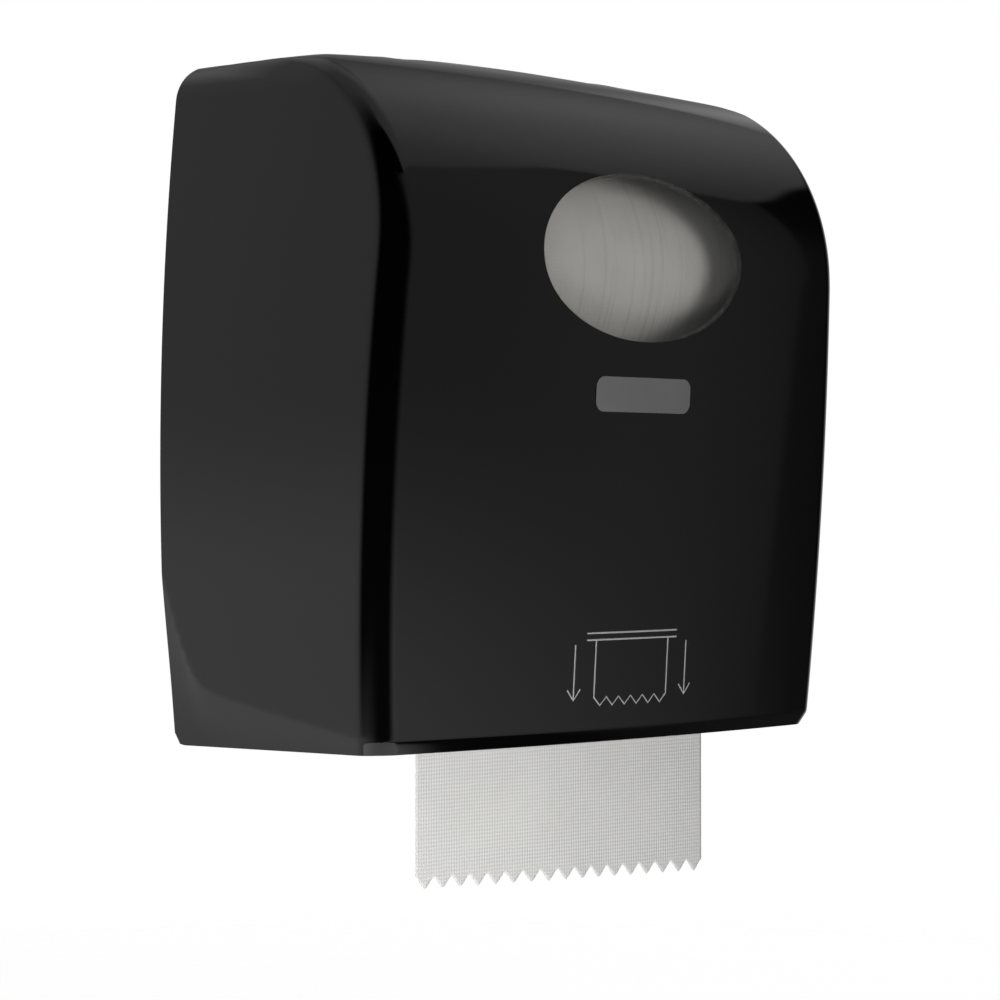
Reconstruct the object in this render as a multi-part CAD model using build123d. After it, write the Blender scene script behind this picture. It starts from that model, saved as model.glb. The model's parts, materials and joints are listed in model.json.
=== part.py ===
from build123d import *
import os
from math import asin, atan, cos, degrees, hypot, pi, radians, sin, sqrt, tan

# Hands-free paper towel dispenser with a drum and a knife behind a crowned, bottom-hinged cover.
# Millimetres. +X is right and -Y is forward when facing it, +Z is up.
# The origin is on the wall face, at the middle of the wall screws. Depth is measured out from the wall.

# Cover: overall form
half_width = 158.0
widest_height = -28.0
side_bow_radius = 1620.0
side_draft = 0.04
depth_max = 173.4
front_bow_radius = 925.0
front_lean = 0.0664
crown_height = 170.6
crown_fall = 0.035
crown_flat_depth = 102.0
crown_front_radius = 153.0
crown_arch_radius = 1110.0
crown_bend_sweep = 60.0
shoulder_drop = 105.0
shoulder_radius = 98.0
shoulder_top_angle = 75.0
brow_over = 2.0
corner_radius = 14.8
corner_bite = 0.15
edge_radius = 11.7
edge_radius_top = 5.5
edge_radius_least = 0.75
wall = 2.8
back_gap = 1.5
base_height = -162.0
base_rise = 0.022
base_back_radius = 10.0
lip_height = -153.5
lip_tuck = 4.2
overrun = 12.0
far = 260.0
full_turn = 360.0
front_steps = 3
shoulder_steps = 5
corner_passes = 5

# Cover: tucked lower corners, as control points (depth, height) of the crease and of the foot of the slope
tuck_depth = 3.6
tuck_spare = 2.0
tuck_radius = 30.0
tuck_foot_radius = 22.0
tuck_back = -8.0
tuck_back_height = -58.6
tuck_turn = 21.8
tuck_turn_height = -136.2
tuck_front = 164.0
tuck_front_height = -157.8
tuck_foot_back = -14.0
tuck_foot_back_height = -97.0
tuck_foot_turn = 9.0
tuck_foot_turn_height = -156.5
tuck_foot_front_height = -165.0

# Window
window_height = 68.0
window_half_width = 66.0
window_half_height = 39.8
lens_gap = 0.25
lens_flange = 5.0
lens_flange_thickness = 1.5
lens_seat_gap = 0.15

# Hinge
hinge_depth = 14.0
hinge_height = -149.0
hinge_pin_radius = 3.0
hinge_clearance = 0.05
hinge_boss_radius = 7.5
hinge_lug_inset = 20.0
hinge_lug_width = 7.0
hinge_side_gap = 0.4
hinge_relief = 1.0
hinge_pin_spare = 2.0

# Back plate
plate_thickness = 3.0
plate_gap = 2.0
plate_top_gap = 3.0
plate_bottom = -152.0
plate_corner_radius = 16.0
plate_rim_depth = 10.0
plate_rim_thickness = 2.4
plate_rib_thickness = 2.4
plate_rib_depth = 7.0
plate_rib_offset = 25.0

# Wall screw slots
screw_inset = 15.5
screw_half_z = 115.0
screw_hole_radius = 2.75
screw_pad_radius = 9.0
screw_pad_thickness = 1.5

# Towel roll and its core
towel_side_room = 62.5
roll_back_room = 15.5
roll_front_room = 20.9
roll_top_room = 38.6
core_radius = 21.0
core_wall = 1.6
core_fit = 0.05

# Roll arms and hubs
arm_gap = 5.0
arm_thickness = 4.0
arm_root_half = 20.0
arm_end_radius = 17.0
arm_foot_width = 18.0
arm_foot_thickness = 3.0
hub_flange_radius = 27.0
hub_flange_thickness = 2.2
hub_plug_length = 15.0
hub_taper = 5.0
hub_gap = 0.3
hub_rivet_radius = 4.0
hub_rivet_head_radius = 6.5
hub_rivet_head = 1.6
arm_pivot_depth = 11.0
arm_knuckle_radius = 5.0
arm_pin_radius = 2.0
arm_pin_clearance = 0.05
arm_lug_thickness = 8.0
arm_lug_gap = 0.4

# Drum
drum_room = 19.4
drum_share = 0.25
drum_back_room = 37.8
drum_height = -85.0
drum_wall = 3.0
drum_overlap = 0.5
drum_slot_half = 10.5
drum_slot_end = 4.0
drum_knife_angle = -42.0
end_cap_thickness = 4.0
end_cap_fit = 0.1
end_cap_spokes = 5
end_cap_window_radius = 6.0
end_cap_window_shift = 0.25
axle_radius = 5.0
axle_clearance = 0.05
axle_spare_left = 4.0
axle_spare_right = 2.0
band_thickness = 0.5
band_half_width = 9.0
band_end_gap = 2.5
band_fit = 0.1

# Feed wheel
wheel_radius = 27.0
wheel_gap = 3.0
wheel_width = 11.0
wheel_scallops = 14
wheel_scallop_radius = 3.2
wheel_scallop_offset = 1.1
wheel_hub_radius = 10.0
wheel_dish_radius = 19.0
wheel_dish_depth = 6.0
wheel_screw_radius = 3.6
wheel_screw_height = 2.4

# Knife: pivot and blade places are along and across the slot direction of the drum
knife_pivot_inset = 16.5
knife_pivot_across = -16.0
knife_tip_inset = 3.7
knife_tip_across = 6.0
knife_shaft_radius = 2.5
knife_barrel_radius = 4.2
knife_end_gap = 6.0
knife_arm_thickness = 4.0
blade_thickness = 1.0
blade_body = 6.0
blade_shown = 3.0
blade_tooth = 4.0
blade_tooth_pitch = 8.0
follower_arm = 13.0
crank_half = 3.0
crank_boss_radius = 4.0
follower_angle = 150.0
follower_arm_thickness = 2.4
follower_arm_gap = 1.0
follower_radius = 4.0
follower_width = 3.0
follower_pin_radius = 1.6

# Knife cam rail on the left frame
cam_gap = 4.5
cam_rail = 4.0
cam_thickness = 3.5
cam_start = -18.0
cam_sweep = 100.0

# Side frames
frame_gap = 9.0
frame_thickness = 4.0
frame_low = -148.0
frame_edge = 1.8
frame_front_low = -118.0
frame_front_high = -62.0
frame_top_front = 96.0
frame_top = -12.0
frame_top_back = 30.0
frame_round = 8.0
frame_cut_back = 16.0
frame_foot_width = 16.0
frame_foot_thickness = 3.0
frame_window_radius = 11.0
frame_windows = 3
frame_window_step = -60.0
frame_screw_radius = 2.0
frame_screw_clearance = 0.05
frame_screw_head_radius = 4.0
frame_screw_head = 2.6
frame_screw_offset = 12.0
frame_screw_tip = 0.75
frame_screw_low = -132.0
frame_screw_high = -30.0
bush_wall = 3.5
bush_fit = 0.03
bush_flange_radius = 12.0
bush_flange = 1.5

# Pinch roller and its carrier
pinch_angle = 110.0
pinch_radius = 10.0
pinch_shaft_radius = 3.5
pinch_sleeve_gap = 7.0
carrier_depth = 26.0
carrier_height = -42.0
carrier_shaft_radius = 3.0
carrier_tube_wall = 3.0
carrier_arm_gap = 2.0
carrier_arm_thickness = 3.5
carrier_arm_half = 6.5
carrier_clearance = 0.05

# Paper between roll, pinch roller, drum and the hand
paper_thickness = 0.4
paper_gap = 0.3
tail_low = -230.0
tail_skew = 3.5
tail_teeth = 20
tail_tooth = 5.0

# Chute and bottom pan
guide_gap = 8.0
guide_thickness = 2.5
guide_top = -66.0
guide_low = -152.0
guide_curl = 7.0
pan_thickness = 2.5
pan_drop = 2.0
pan_front_gap = 6.0
pan_curl = 4.0

# Lock in the crown of the cover, and its strike
lock_depth = 32.0
lock_housing_radius = 9.0
lock_housing_flange = 12.0
lock_flange_height = 1.9
lock_flange_seat = 0.45
lock_nut_height = 3.6
lock_fit = 0.15
lock_barrel_radius = 6.0
lock_barrel_clearance = 0.08
lock_key_slot = 1.6
lock_key_length = 7.0
lock_key_depth = 1.2
lock_cam_length = 14.0
lock_cam_half = 3.0
lock_cam_thickness = 2.0
lock_cam_gap = 0.3
strike_offset = 9.0
strike_thickness = 2.0
strike_front = 49.0
strike_clearance = 1.2
strike_bar = 3.0
strike_gusset = 14.0


def side_plane(x):
    """A plane facing left at a sideways place: local x is depth and local y is height."""
    return Plane(origin=(x, 0, 0), x_dir=(0, -1, 0), z_dir=(-1, 0, 0))


def slab(outline, x_low, x_high):
    """A side-view outline as a plate between two sideways places."""
    return extrude(side_plane(x_high) * outline, amount=x_high - x_low)


def rod(x_low, x_high, depth, height, radius):
    """A round bar along X."""
    return slab(Pos(depth, height) * Circle(radius), x_low, x_high)


def slab_front(outline, depth_low, depth_high):
    """A front-view outline as a plate between two depths."""
    return extrude(Plane.XZ.offset(depth_low) * outline, amount=depth_high - depth_low)


def post(x, depth, low, high, radius):
    """A round bar along Z."""
    return Pos(x, -depth, low) * Cylinder(radius, high - low, align=(Align.CENTER, Align.CENTER, Align.MIN))


def both_sides(piece):
    """A piece with its mirror image on the other side."""
    return Part() + [piece, mirror(piece, about=Plane.YZ)]


def polar(depth, height, radius, angle):
    """A side-view place at a radius and an angle, counted from forward to up."""
    return depth + radius * cos(radians(angle)), height + radius * sin(radians(angle))


def ring_sector(depth, height, inner, outer, start, sweep):
    """A side-view sector of a ring."""
    inside = CenterArc((depth, height), inner, start, sweep)
    outside = CenterArc((depth, height), outer, start, sweep)
    return make_face([inside, Line(inside @ 1, outside @ 1), outside, Line(outside @ 0, inside @ 0)])


# Values that follow from the sizes above
shoulder_height = crown_height - shoulder_drop
lean_angle = degrees(atan(front_lean))
lean_joint = shoulder_height - shoulder_radius * sin(radians(lean_angle))
crown_low_radius = crown_arch_radius - crown_height + base_height - overrun
crown_half_angle = degrees(asin((half_width + overrun) / crown_low_radius))
plate_front = plate_thickness
towel_half_width = half_width - towel_side_room
roll_radius = (depth_max - roll_back_room - roll_front_room) / 2
roll_depth = roll_back_room + roll_radius
roll_height = (crown_height - roll_top_room) / 2
drum_radius = drum_share * (depth_max - drum_room)
drum_depth = drum_back_room + drum_radius
drum_half_length = towel_half_width + drum_overlap
end_cap_window_ring = (drum_radius - drum_wall) / 2 - end_cap_window_shift
knife_pivot_along = drum_radius - knife_pivot_inset
knife_tip_along = drum_radius - knife_tip_inset
knife_half_length = towel_half_width - knife_end_gap
cam_inner_radius = drum_radius + cam_gap
band_spacing = 2 * towel_half_width / 3
pinch_sleeve_half_length = band_spacing / 2 - pinch_sleeve_gap
arm_inner = towel_half_width + arm_gap
carrier_arm_inner = towel_half_width + carrier_arm_gap
frame_inner = towel_half_width + frame_gap
frame_outer = frame_inner + frame_thickness
wheel_inner = frame_outer + wheel_gap
axle_end_left = frame_outer + axle_spare_left
axle_end_right = wheel_inner + wheel_width + axle_spare_right
screw_half_x = towel_half_width - screw_inset
plate_rib_half_spacing = screw_half_x - plate_rib_offset
hinge_lug_outer = half_width - hinge_lug_inset
hinge_lug_inner = hinge_lug_outer - hinge_lug_width
hinge_pin_inner = hinge_lug_inner - hinge_pin_spare
band_radius = drum_radius + band_thickness
paper_on_drum = band_radius + paper_gap
pinch_offset = paper_on_drum + paper_thickness + paper_gap + pinch_radius
pinch_depth, pinch_height = polar(drum_depth, drum_height, pinch_offset, pinch_angle)
paper_on_pinch = pinch_radius + paper_gap
paper_on_roll = roll_radius + paper_gap
tail_depth = drum_depth + paper_on_drum
frame_front = tail_depth + paper_thickness + guide_gap + guide_thickness + frame_edge
lens_inner = wall + lens_seat_gap + lens_flange_thickness


def side_reach(height):
    """Half width of the cover at the wall."""
    return half_width - (height - widest_height) ** 2 / (2 * side_bow_radius)


def front_reach(height, inset):
    """Depth of the middle of the cover's front."""
    radius = shoulder_radius - inset
    brow_height = shoulder_height + radius * sin(radians(shoulder_top_angle))
    if height > brow_height:
        brow = depth_max - shoulder_radius + radius * cos(radians(shoulder_top_angle))
        return brow - (height - brow_height) * tan(radians(shoulder_top_angle))
    if height > lean_joint:
        return depth_max - shoulder_radius + sqrt(radius**2 - (height - shoulder_height) ** 2)
    joint = depth_max - shoulder_radius + sqrt(radius**2 - (lean_joint - shoulder_height) ** 2)
    return joint - front_lean * (lean_joint - height)


def crown_reach(depth):
    """Height of the middle of the cover's top, behind its front rounding."""
    return crown_height - crown_fall * depth


def plan_section(height, inset, shift=0.0):
    """A level section through the cover's form, its walls moved in by the inset."""
    moved = inset + shift
    apex = front_reach(height, inset) - shift
    bow = front_bow_radius - moved
    corner_depth = apex
    for _ in range(corner_passes):
        corner_half = side_reach(height) - moved - side_draft * corner_depth
        corner_depth = apex - bow + sqrt(bow**2 - corner_half**2)
    back_half = side_reach(height) - moved + side_draft * overrun
    left = Line((-back_half, overrun), (-corner_half, -corner_depth))
    front = ThreePointArc((-corner_half, -corner_depth), (0, -apex), (corner_half, -corner_depth))
    right = Line((corner_half, -corner_depth), (back_half, overrun))
    face = make_face([left, front, right, Line((back_half, overrun), (-back_half, overrun))])
    rise = degrees(asin(min(max(0.0, height - shoulder_height) / shoulder_radius, 1.0)))
    rise = min(rise, shoulder_top_angle)
    rounding = edge_radius + (edge_radius_top - edge_radius) * rise / shoulder_top_angle
    rounding = max(rounding - moved, edge_radius_least)
    return Pos(0, 0, height) * fillet(face.vertices().sort_by(Axis.Y)[:2], rounding)


def walls(inset):
    """The cover's sides and front as one body, with the undercut lip along its lower edge."""
    lower = [lip_height + (lean_joint - lip_height) * i / front_steps for i in range(front_steps)]
    rises = [shoulder_top_angle * i / shoulder_steps for i in range(shoulder_steps + 1)]
    radius = shoulder_radius - inset
    upper = [shoulder_height + radius * sin(radians(rise)) for rise in rises]
    front = loft([plan_section(height, inset) for height in lower + [lean_joint]])
    shoulder = loft([plan_section(height, inset) for height in [lean_joint] + upper])
    over = plan_section(crown_height + brow_over, inset)
    brow = loft([plan_section(upper[-1], inset), over], ruled=True)
    foot = base_height - overrun
    slope = lip_tuck / (lip_height - base_height)
    lip_foot = plan_section(foot, inset, slope * (lip_height - foot))
    lip = loft([lip_foot, plan_section(lip_height, inset)], ruled=True)
    return front + shoulder + brow + lip


def crown(inset, back):
    """The body under the cover's arched top, which falls and then turns down to the front."""
    top = crown_reach(back) - inset
    turn = crown_reach(crown_flat_depth) - inset
    fall = degrees(atan(crown_fall))
    radius = crown_front_radius - inset
    centre = (crown_flat_depth - radius * sin(radians(fall)), turn - radius * cos(radians(fall)))
    bend = CenterArc(centre, radius, 90 - fall, -crown_bend_sweep)
    low = -far
    lines = [
        Line((back, low), (back, top)),
        Line((back, top), (crown_flat_depth, turn)),
        bend,
        Line(bend @ 1, ((bend @ 1).X, low)),
        Line(((bend @ 1).X, low), (back, low)),
    ]
    axis = Axis((0, 0, crown_height - crown_arch_radius), (0, 1, 0))
    half = revolve(side_plane(0) * make_face(lines), axis=axis, revolution_arc=2 * crown_half_angle)
    return half.rotate(axis, -crown_half_angle)


def corner_cutter(inset):
    """What is taken off to round the right upper corner, along the taper of the side."""
    radius = corner_radius - inset
    inside = side_reach(crown_height) - corner_radius
    top = Vector(inside / crown_arch_radius, 1).normalized()
    top_line = top.dot(Vector(inside, crown_height - inside**2 / (2 * crown_arch_radius)))
    low = crown_height - inside**2 / (2 * crown_arch_radius) - corner_radius
    side = Vector(1, (low - widest_height) / side_bow_radius).normalized()
    side_line = side.dot(Vector(side_reach(low), low))
    top_line -= corner_radius + corner_bite
    side_line -= corner_radius + corner_bite
    lean = side.X * top.Y - side.Y * top.X
    centre_x = (side_line * top.Y - side.Y * top_line) / lean + side_draft * overrun
    centre_z = (side.X * top_line - top.X * side_line) / lean + crown_fall * overrun
    start_angle = degrees(atan(side.Y / side.X))
    sweep = 90 - degrees(atan(top.X / top.Y)) - start_angle
    arc = CenterArc((centre_x, centre_z), radius, start_angle, sweep)
    reach = radius + overrun
    beside = (centre_x + reach * side.X, centre_z + reach * side.Y)
    above = (centre_x + reach * top.X, centre_z + reach * top.Y)
    beyond = (centre_x + reach * (side.X + top.X), centre_z + reach * (side.Y + top.Y))
    lines = [
        arc,
        Line(arc @ 1, above),
        Line(above, beyond),
        Line(beyond, beside),
        Line(beside, arc @ 0),
    ]
    start = Plane.XZ.offset(-overrun) * make_face(lines)
    return extrude(start, amount=far, dir=Vector(-side_draft, -1, -crown_fall))


def tuck_outline(back, turn, front, radius):
    """The region under a crease that falls steeply from the wall, then runs on to the front."""
    crease = FilletPolyline(back, turn, front, radius=radius)
    low = -far
    lines = [
        crease,
        Line(front, (front[0], low)),
        Line((front[0], low), (back[0], low)),
        Line((back[0], low), back),
    ]
    return make_face(lines)


def tuck_cutter(inset):
    """What is taken off the right lower corner, under the crease."""
    crease = [(tuck_back, tuck_back_height), (tuck_turn, tuck_turn_height), (tuck_front, tuck_front_height)]
    foot = [
        (tuck_foot_back, tuck_foot_back_height),
        (tuck_foot_turn, tuck_foot_turn_height),
        (tuck_front, tuck_foot_front_height),
    ]
    share = tuck_spare / tuck_depth
    start = [(a[0] + (a[0] - b[0]) * share, a[1] + (a[1] - b[1]) * share) for a, b in zip(crease, foot)]
    start_radius = tuck_radius + (tuck_radius - tuck_foot_radius) * share
    high = tuck_back_height + tuck_back
    slope = (side_reach(high) - side_reach(tuck_turn_height)) / (high - tuck_turn_height)
    origin = Vector(side_reach(high) - slope * high, 0, 0)
    out = Vector(1, -side_draft, -slope).normalized()
    along = Vector(-side_draft, -1, 0).normalized()
    skin = Plane(origin=origin - out * inset, x_dir=along, z_dir=-out)
    outer = skin.offset(-tuck_spare) * tuck_outline(*start, start_radius)
    inner = skin.offset(tuck_depth) * tuck_outline(*foot, tuck_foot_radius)
    return loft([outer, inner], ruled=True)


def form(inset, back):
    """The cover's whole form, its walls moved in by the inset."""
    body = walls(inset) & crown(inset, back)
    return body - both_sides(corner_cutter(inset)) - both_sides(tuck_cutter(inset))


def base_trim():
    """The side view that the cover keeps at its lower edge, round where it meets the wall."""
    start = base_height + base_rise * base_back_radius
    end = base_height + base_rise * far
    centre = (back_gap + base_back_radius, start + base_back_radius)
    arc = CenterArc(centre, base_back_radius, 180, 90)
    lines = [
        arc,
        Line(arc @ 1, (far, end)),
        Line((far, end), (far, far)),
        Line((far, far), (back_gap, far)),
        Line((back_gap, far), arc @ 0),
    ]
    return slab(make_face(lines), -far, far)


def window_prism(grow):
    """The window's ellipse, right through the front."""
    ellipse = Pos(0, window_height) * Ellipse(window_half_width + grow, window_half_height + grow)
    return slab_front(ellipse, depth_max - shoulder_radius, far)


def hinge_ear_end():
    """Sideways place where the hinge ear is buried in the cover's tucked side."""
    return side_reach(hinge_height) - side_draft * hinge_depth - tuck_depth - wall / 2


def lock_height():
    """Height of the cover's top where the lock stands."""
    return crown_reach(lock_depth)


def make_cover():
    """The crowned cover: an open-backed, open-bottomed shell with a window, a lock hole and hinge ears."""
    outer = form(0, back_gap) & base_trim()
    shell = outer - form(wall, -overrun)
    shell -= window_prism(0)
    ear = rod(hinge_lug_outer + hinge_side_gap, hinge_ear_end(), hinge_depth, hinge_height, hinge_boss_radius)
    shell += both_sides(ear)
    bore = hinge_pin_radius + hinge_clearance
    hole = rod(hinge_lug_outer, hinge_ear_end() - wall, hinge_depth, hinge_height, bore)
    shell -= both_sides(hole)
    top = lock_height()
    return shell - post(0, lock_depth, top - overrun, top + overrun, lock_housing_radius + lock_fit)


def make_lens():
    """The clear window: flush with the cover outside, with a flange behind its edge."""
    body = walls(lens_inner)
    plug = (walls(0) - body) & window_prism(-lens_gap)
    flange = (walls(wall + lens_seat_gap) - body) & window_prism(lens_flange)
    return plug + flange


def plate_outline(inset):
    """Front view of the back plate, inside the cover's walls."""
    edge = wall + plate_gap + inset
    top = crown_height - wall - plate_top_gap - inset
    shoulder = top - 2 * corner_radius
    low = plate_bottom + inset
    half_low = side_reach(low) - edge - tuck_depth
    half_mid = side_reach(widest_height) - edge
    half_high = side_reach(shoulder) - edge
    sag = side_reach(0) ** 2 / (2 * crown_arch_radius)
    lines = [
        ThreePointArc((half_low, low), (half_mid, widest_height), (half_high, shoulder)),
        Line((half_high, shoulder), (half_high, top - sag)),
        ThreePointArc((half_high, top - sag), (0, top), (-half_high, top - sag)),
        Line((-half_high, top - sag), (-half_high, shoulder)),
        ThreePointArc((-half_high, shoulder), (-half_mid, widest_height), (-half_low, low)),
        Line((-half_low, low), (half_low, low)),
    ]
    face = make_face(lines)
    corners = face.vertices().sort_by(Axis.Y)
    face = fillet(corners[-2:], corner_radius - wall)
    return fillet(face.vertices().sort_by(Axis.Y)[:2], plate_corner_radius)


def wall_screw_places():
    """The four wall screws, sideways and up."""
    return [(x, z) for x in (-screw_half_x, screw_half_x) for z in (-screw_half_z, screw_half_z)]


def frame_screw_places():
    """The screws that hold the side frames to the back plate."""
    x = frame_outer + frame_screw_offset
    return [(side * x, z) for side in (-1, 1) for z in (frame_screw_low, frame_screw_high)]


def make_back_plate():
    """The wall plate with its rim, ribs, screw pads, hinge lugs and the lugs of the sprung arm."""
    plate = slab_front(plate_outline(0), 0, plate_thickness)
    rim = plate_outline(0) - plate_outline(plate_rim_thickness)
    plate += slab_front(rim, 0, plate_rim_depth)
    tall = crown_height - plate_rim_depth - plate_bottom
    rib = Rectangle(plate_rib_thickness, tall, align=(Align.CENTER, Align.MIN))
    whole = slab_front(plate_outline(0), 0, far)
    for x in (-plate_rib_half_spacing, plate_rib_half_spacing):
        plate += slab_front(Pos(x, plate_bottom) * rib, 0, plate_rib_depth) & whole
    for x, z in wall_screw_places():
        plate += slab_front(Pos(x, z) * Circle(screw_pad_radius), 0, plate_thickness + screw_pad_thickness)
    for x, z in wall_screw_places():
        plate -= slab_front(Pos(x, z) * Circle(screw_hole_radius), -overrun, overrun)
    for x, z in frame_screw_places():
        hole = Circle(frame_screw_radius + frame_screw_clearance)
        plate -= slab_front(Pos(x, z) * hole, -overrun, overrun)
    relief = hinge_boss_radius + hinge_relief
    plate -= both_sides(rod(hinge_lug_outer, far, hinge_depth, hinge_height, relief))
    lug = Pos(hinge_depth, hinge_height) * Circle(hinge_boss_radius)
    lug += Pos(plate_thickness / 2, hinge_height - hinge_boss_radius) * Rectangle(
        hinge_depth - plate_thickness / 2, 2 * hinge_boss_radius, align=(Align.MIN, Align.MIN)
    )
    lug -= Pos(hinge_depth, hinge_height) * Circle(hinge_pin_radius)
    plate += both_sides(slab(lug, hinge_lug_inner, hinge_lug_outer))
    return plate + arm_lugs()


def arm_lugs():
    """The two lugs that carry the pivot pin of the sprung arm."""
    x = arm_inner + arm_thickness / 2
    lugs = Part()
    for low in (arm_lug_low(), roll_height + arm_root_half + arm_lug_gap):
        block = post(x, arm_pivot_depth, low, low + arm_lug_thickness, arm_knuckle_radius)
        stem = Box(2 * arm_knuckle_radius, arm_pivot_depth - plate_thickness / 2, arm_lug_thickness)
        block += Pos(x, -(arm_pivot_depth + plate_thickness / 2) / 2, low + arm_lug_thickness / 2) * stem
        lugs += block - post(x, arm_pivot_depth, low - overrun, low + far, arm_pin_radius)
    return lugs


def arm_lug_low():
    """Underside of the lower lug of the sprung arm."""
    return roll_height - arm_root_half - arm_lug_gap - arm_lug_thickness


def arm_profile(root):
    """Side view of a roll arm, from a wide root to a round end."""
    narrow = arm_end_radius
    lines = [
        Line((root, roll_height - arm_root_half), (roll_depth, roll_height - narrow)),
        CenterArc((roll_depth, roll_height), narrow, -90, 180),
        Line((roll_depth, roll_height + narrow), (root, roll_height + arm_root_half)),
        Line((root, roll_height + arm_root_half), (root, roll_height - arm_root_half)),
    ]
    return make_face(lines) - Pos(roll_depth, roll_height) * Circle(hub_rivet_radius)


def make_arm_left():
    """The fixed roll arm with its foot on the back plate."""
    plate = slab(arm_profile(plate_front), -arm_inner - arm_thickness, -arm_inner)
    foot = Rectangle(arm_foot_width, 2 * arm_root_half, align=(Align.MAX, Align.CENTER))
    foot = slab_front(Pos(-arm_inner, roll_height) * foot, plate_front, plate_front + arm_foot_thickness)
    return plate + foot


def make_arm_right():
    """The sprung roll arm with its knuckle round the pivot pin."""
    x = arm_inner + arm_thickness / 2
    plate = slab(arm_profile(arm_pivot_depth), arm_inner, arm_inner + arm_thickness)
    low, high = roll_height - arm_root_half, roll_height + arm_root_half
    plate += post(x, arm_pivot_depth, low, high, arm_knuckle_radius)
    bore = arm_pin_radius + arm_pin_clearance
    return plate - post(x, arm_pivot_depth, low - overrun, high + overrun, bore)


def make_arm_pin():
    """The pivot pin of the sprung arm, held in both lugs."""
    top = roll_height + arm_root_half + arm_lug_gap + arm_lug_thickness
    return post(arm_inner + arm_thickness / 2, arm_pivot_depth, arm_lug_low(), top, arm_pin_radius)


def make_hub():
    """The right core hub: a flange and a tapered plug that the core turns on."""
    bore = core_radius - core_wall - hub_gap
    mouth = towel_half_width
    face = arm_inner - hub_flange_thickness
    outline = Polyline(
        (0, arm_inner),
        (hub_flange_radius, arm_inner),
        (hub_flange_radius, face),
        (bore, face),
        (bore, mouth),
        (bore - hub_taper, mouth - hub_plug_length),
        (0, mouth - hub_plug_length),
        close=True,
    )
    turned = revolve(Plane.XZ * make_face(outline), axis=Axis.Z)
    placed = Pos(0, -roll_depth, roll_height) * (Rot(0, 90, 0) * turned)
    return placed - rod(0, far, roll_depth, roll_height, hub_rivet_radius)


def make_hub_rivet():
    """The headed rivet that holds the right hub on its arm."""
    inner = towel_half_width - hub_plug_length
    outer = arm_inner + arm_thickness
    shank = rod(inner, outer, roll_depth, roll_height, hub_rivet_radius)
    return shank + rod(outer, outer + hub_rivet_head, roll_depth, roll_height, hub_rivet_head_radius)


def make_core():
    """The cardboard tube of the roll."""
    tube = rod(-towel_half_width, towel_half_width, roll_depth, roll_height, core_radius)
    return tube - rod(-far, far, roll_depth, roll_height, core_radius - core_wall)


def make_roll():
    """The wound towel."""
    body = rod(-towel_half_width, towel_half_width, roll_depth, roll_height, roll_radius)
    return body - rod(-far, far, roll_depth, roll_height, core_radius + core_fit)


def frame_profile():
    """Side view of a side frame."""
    corners = [
        (plate_front, frame_low),
        (frame_front - frame_cut_back, frame_low),
        (frame_front, frame_front_low),
        (frame_front, frame_front_high),
        (frame_top_front, frame_top),
        (frame_top_back, frame_top),
        (plate_front, frame_top + frame_round),
    ]
    face = make_face(Polyline(*corners, close=True))
    rounded = [v for v in face.vertices() if v.X > plate_front + frame_round]
    return fillet(rounded, frame_round)


def make_frame_right():
    """The right side frame: a plate with a foot, bearing seat, shaft holes and lightening windows."""
    profile = frame_profile()
    profile -= Pos(drum_depth, drum_height) * Circle(axle_radius + bush_wall + bush_fit)
    profile -= Pos(carrier_depth, carrier_height) * Circle(carrier_shaft_radius)
    for i in range(frame_windows):
        centre = polar(drum_depth, drum_height, drum_radius, frame_window_step * (i + 1))
        profile -= Pos(*centre) * Circle(frame_window_radius)
    frame = slab(profile, frame_inner, frame_outer)
    tall = frame_top + frame_round - frame_low
    foot = Rectangle(frame_foot_width + frame_thickness, tall, align=(Align.MIN, Align.MIN))
    frame += slab_front(Pos(frame_inner, frame_low) * foot, plate_front, plate_front + frame_foot_thickness)
    for x, z in frame_screw_places():
        frame -= slab_front(Pos(x, z) * Circle(frame_screw_radius + frame_screw_clearance), 0, overrun)
    return frame


def make_frame_screws():
    """The four frame screws, with their heads on the feet of the frames."""
    screws = Part()
    seat = plate_front + frame_foot_thickness
    for x, z in frame_screw_places():
        screws += slab_front(Pos(x, z) * Circle(frame_screw_radius), frame_screw_tip, seat)
        screws += slab_front(Pos(x, z) * Circle(frame_screw_head_radius), seat, seat + frame_screw_head)
    return screws


def make_bush():
    """The right flanged bush of the drum axle."""
    outer = axle_radius + bush_wall
    bush = rod(frame_inner, frame_outer, drum_depth, drum_height, outer)
    bush += rod(frame_outer, frame_outer + bush_flange, drum_depth, drum_height, bush_flange_radius)
    return bush - rod(0, far, drum_depth, drum_height, axle_radius + axle_clearance)


def in_drum(sketch):
    """A sketch drawn along and across the knife slot, turned to the drum's place."""
    return Pos(drum_depth, drum_height) * Rot(0, 0, drum_knife_angle) * sketch


def make_drum_shell(front):
    """One half of the drum's shell. The front half has the knife slot."""
    inner = drum_radius - drum_wall
    start = drum_knife_angle + (-90 if front else 90)
    half = ring_sector(drum_depth, drum_height, inner, drum_radius, start, 180)
    shell = slab(half, -drum_half_length, drum_half_length)
    if not front:
        return shell
    slot = in_drum(Pos(drum_radius, 0) * Rectangle(drum_radius, 2 * drum_slot_half))
    length = drum_half_length - drum_slot_end
    return shell - slab(slot, -length, length)


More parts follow.
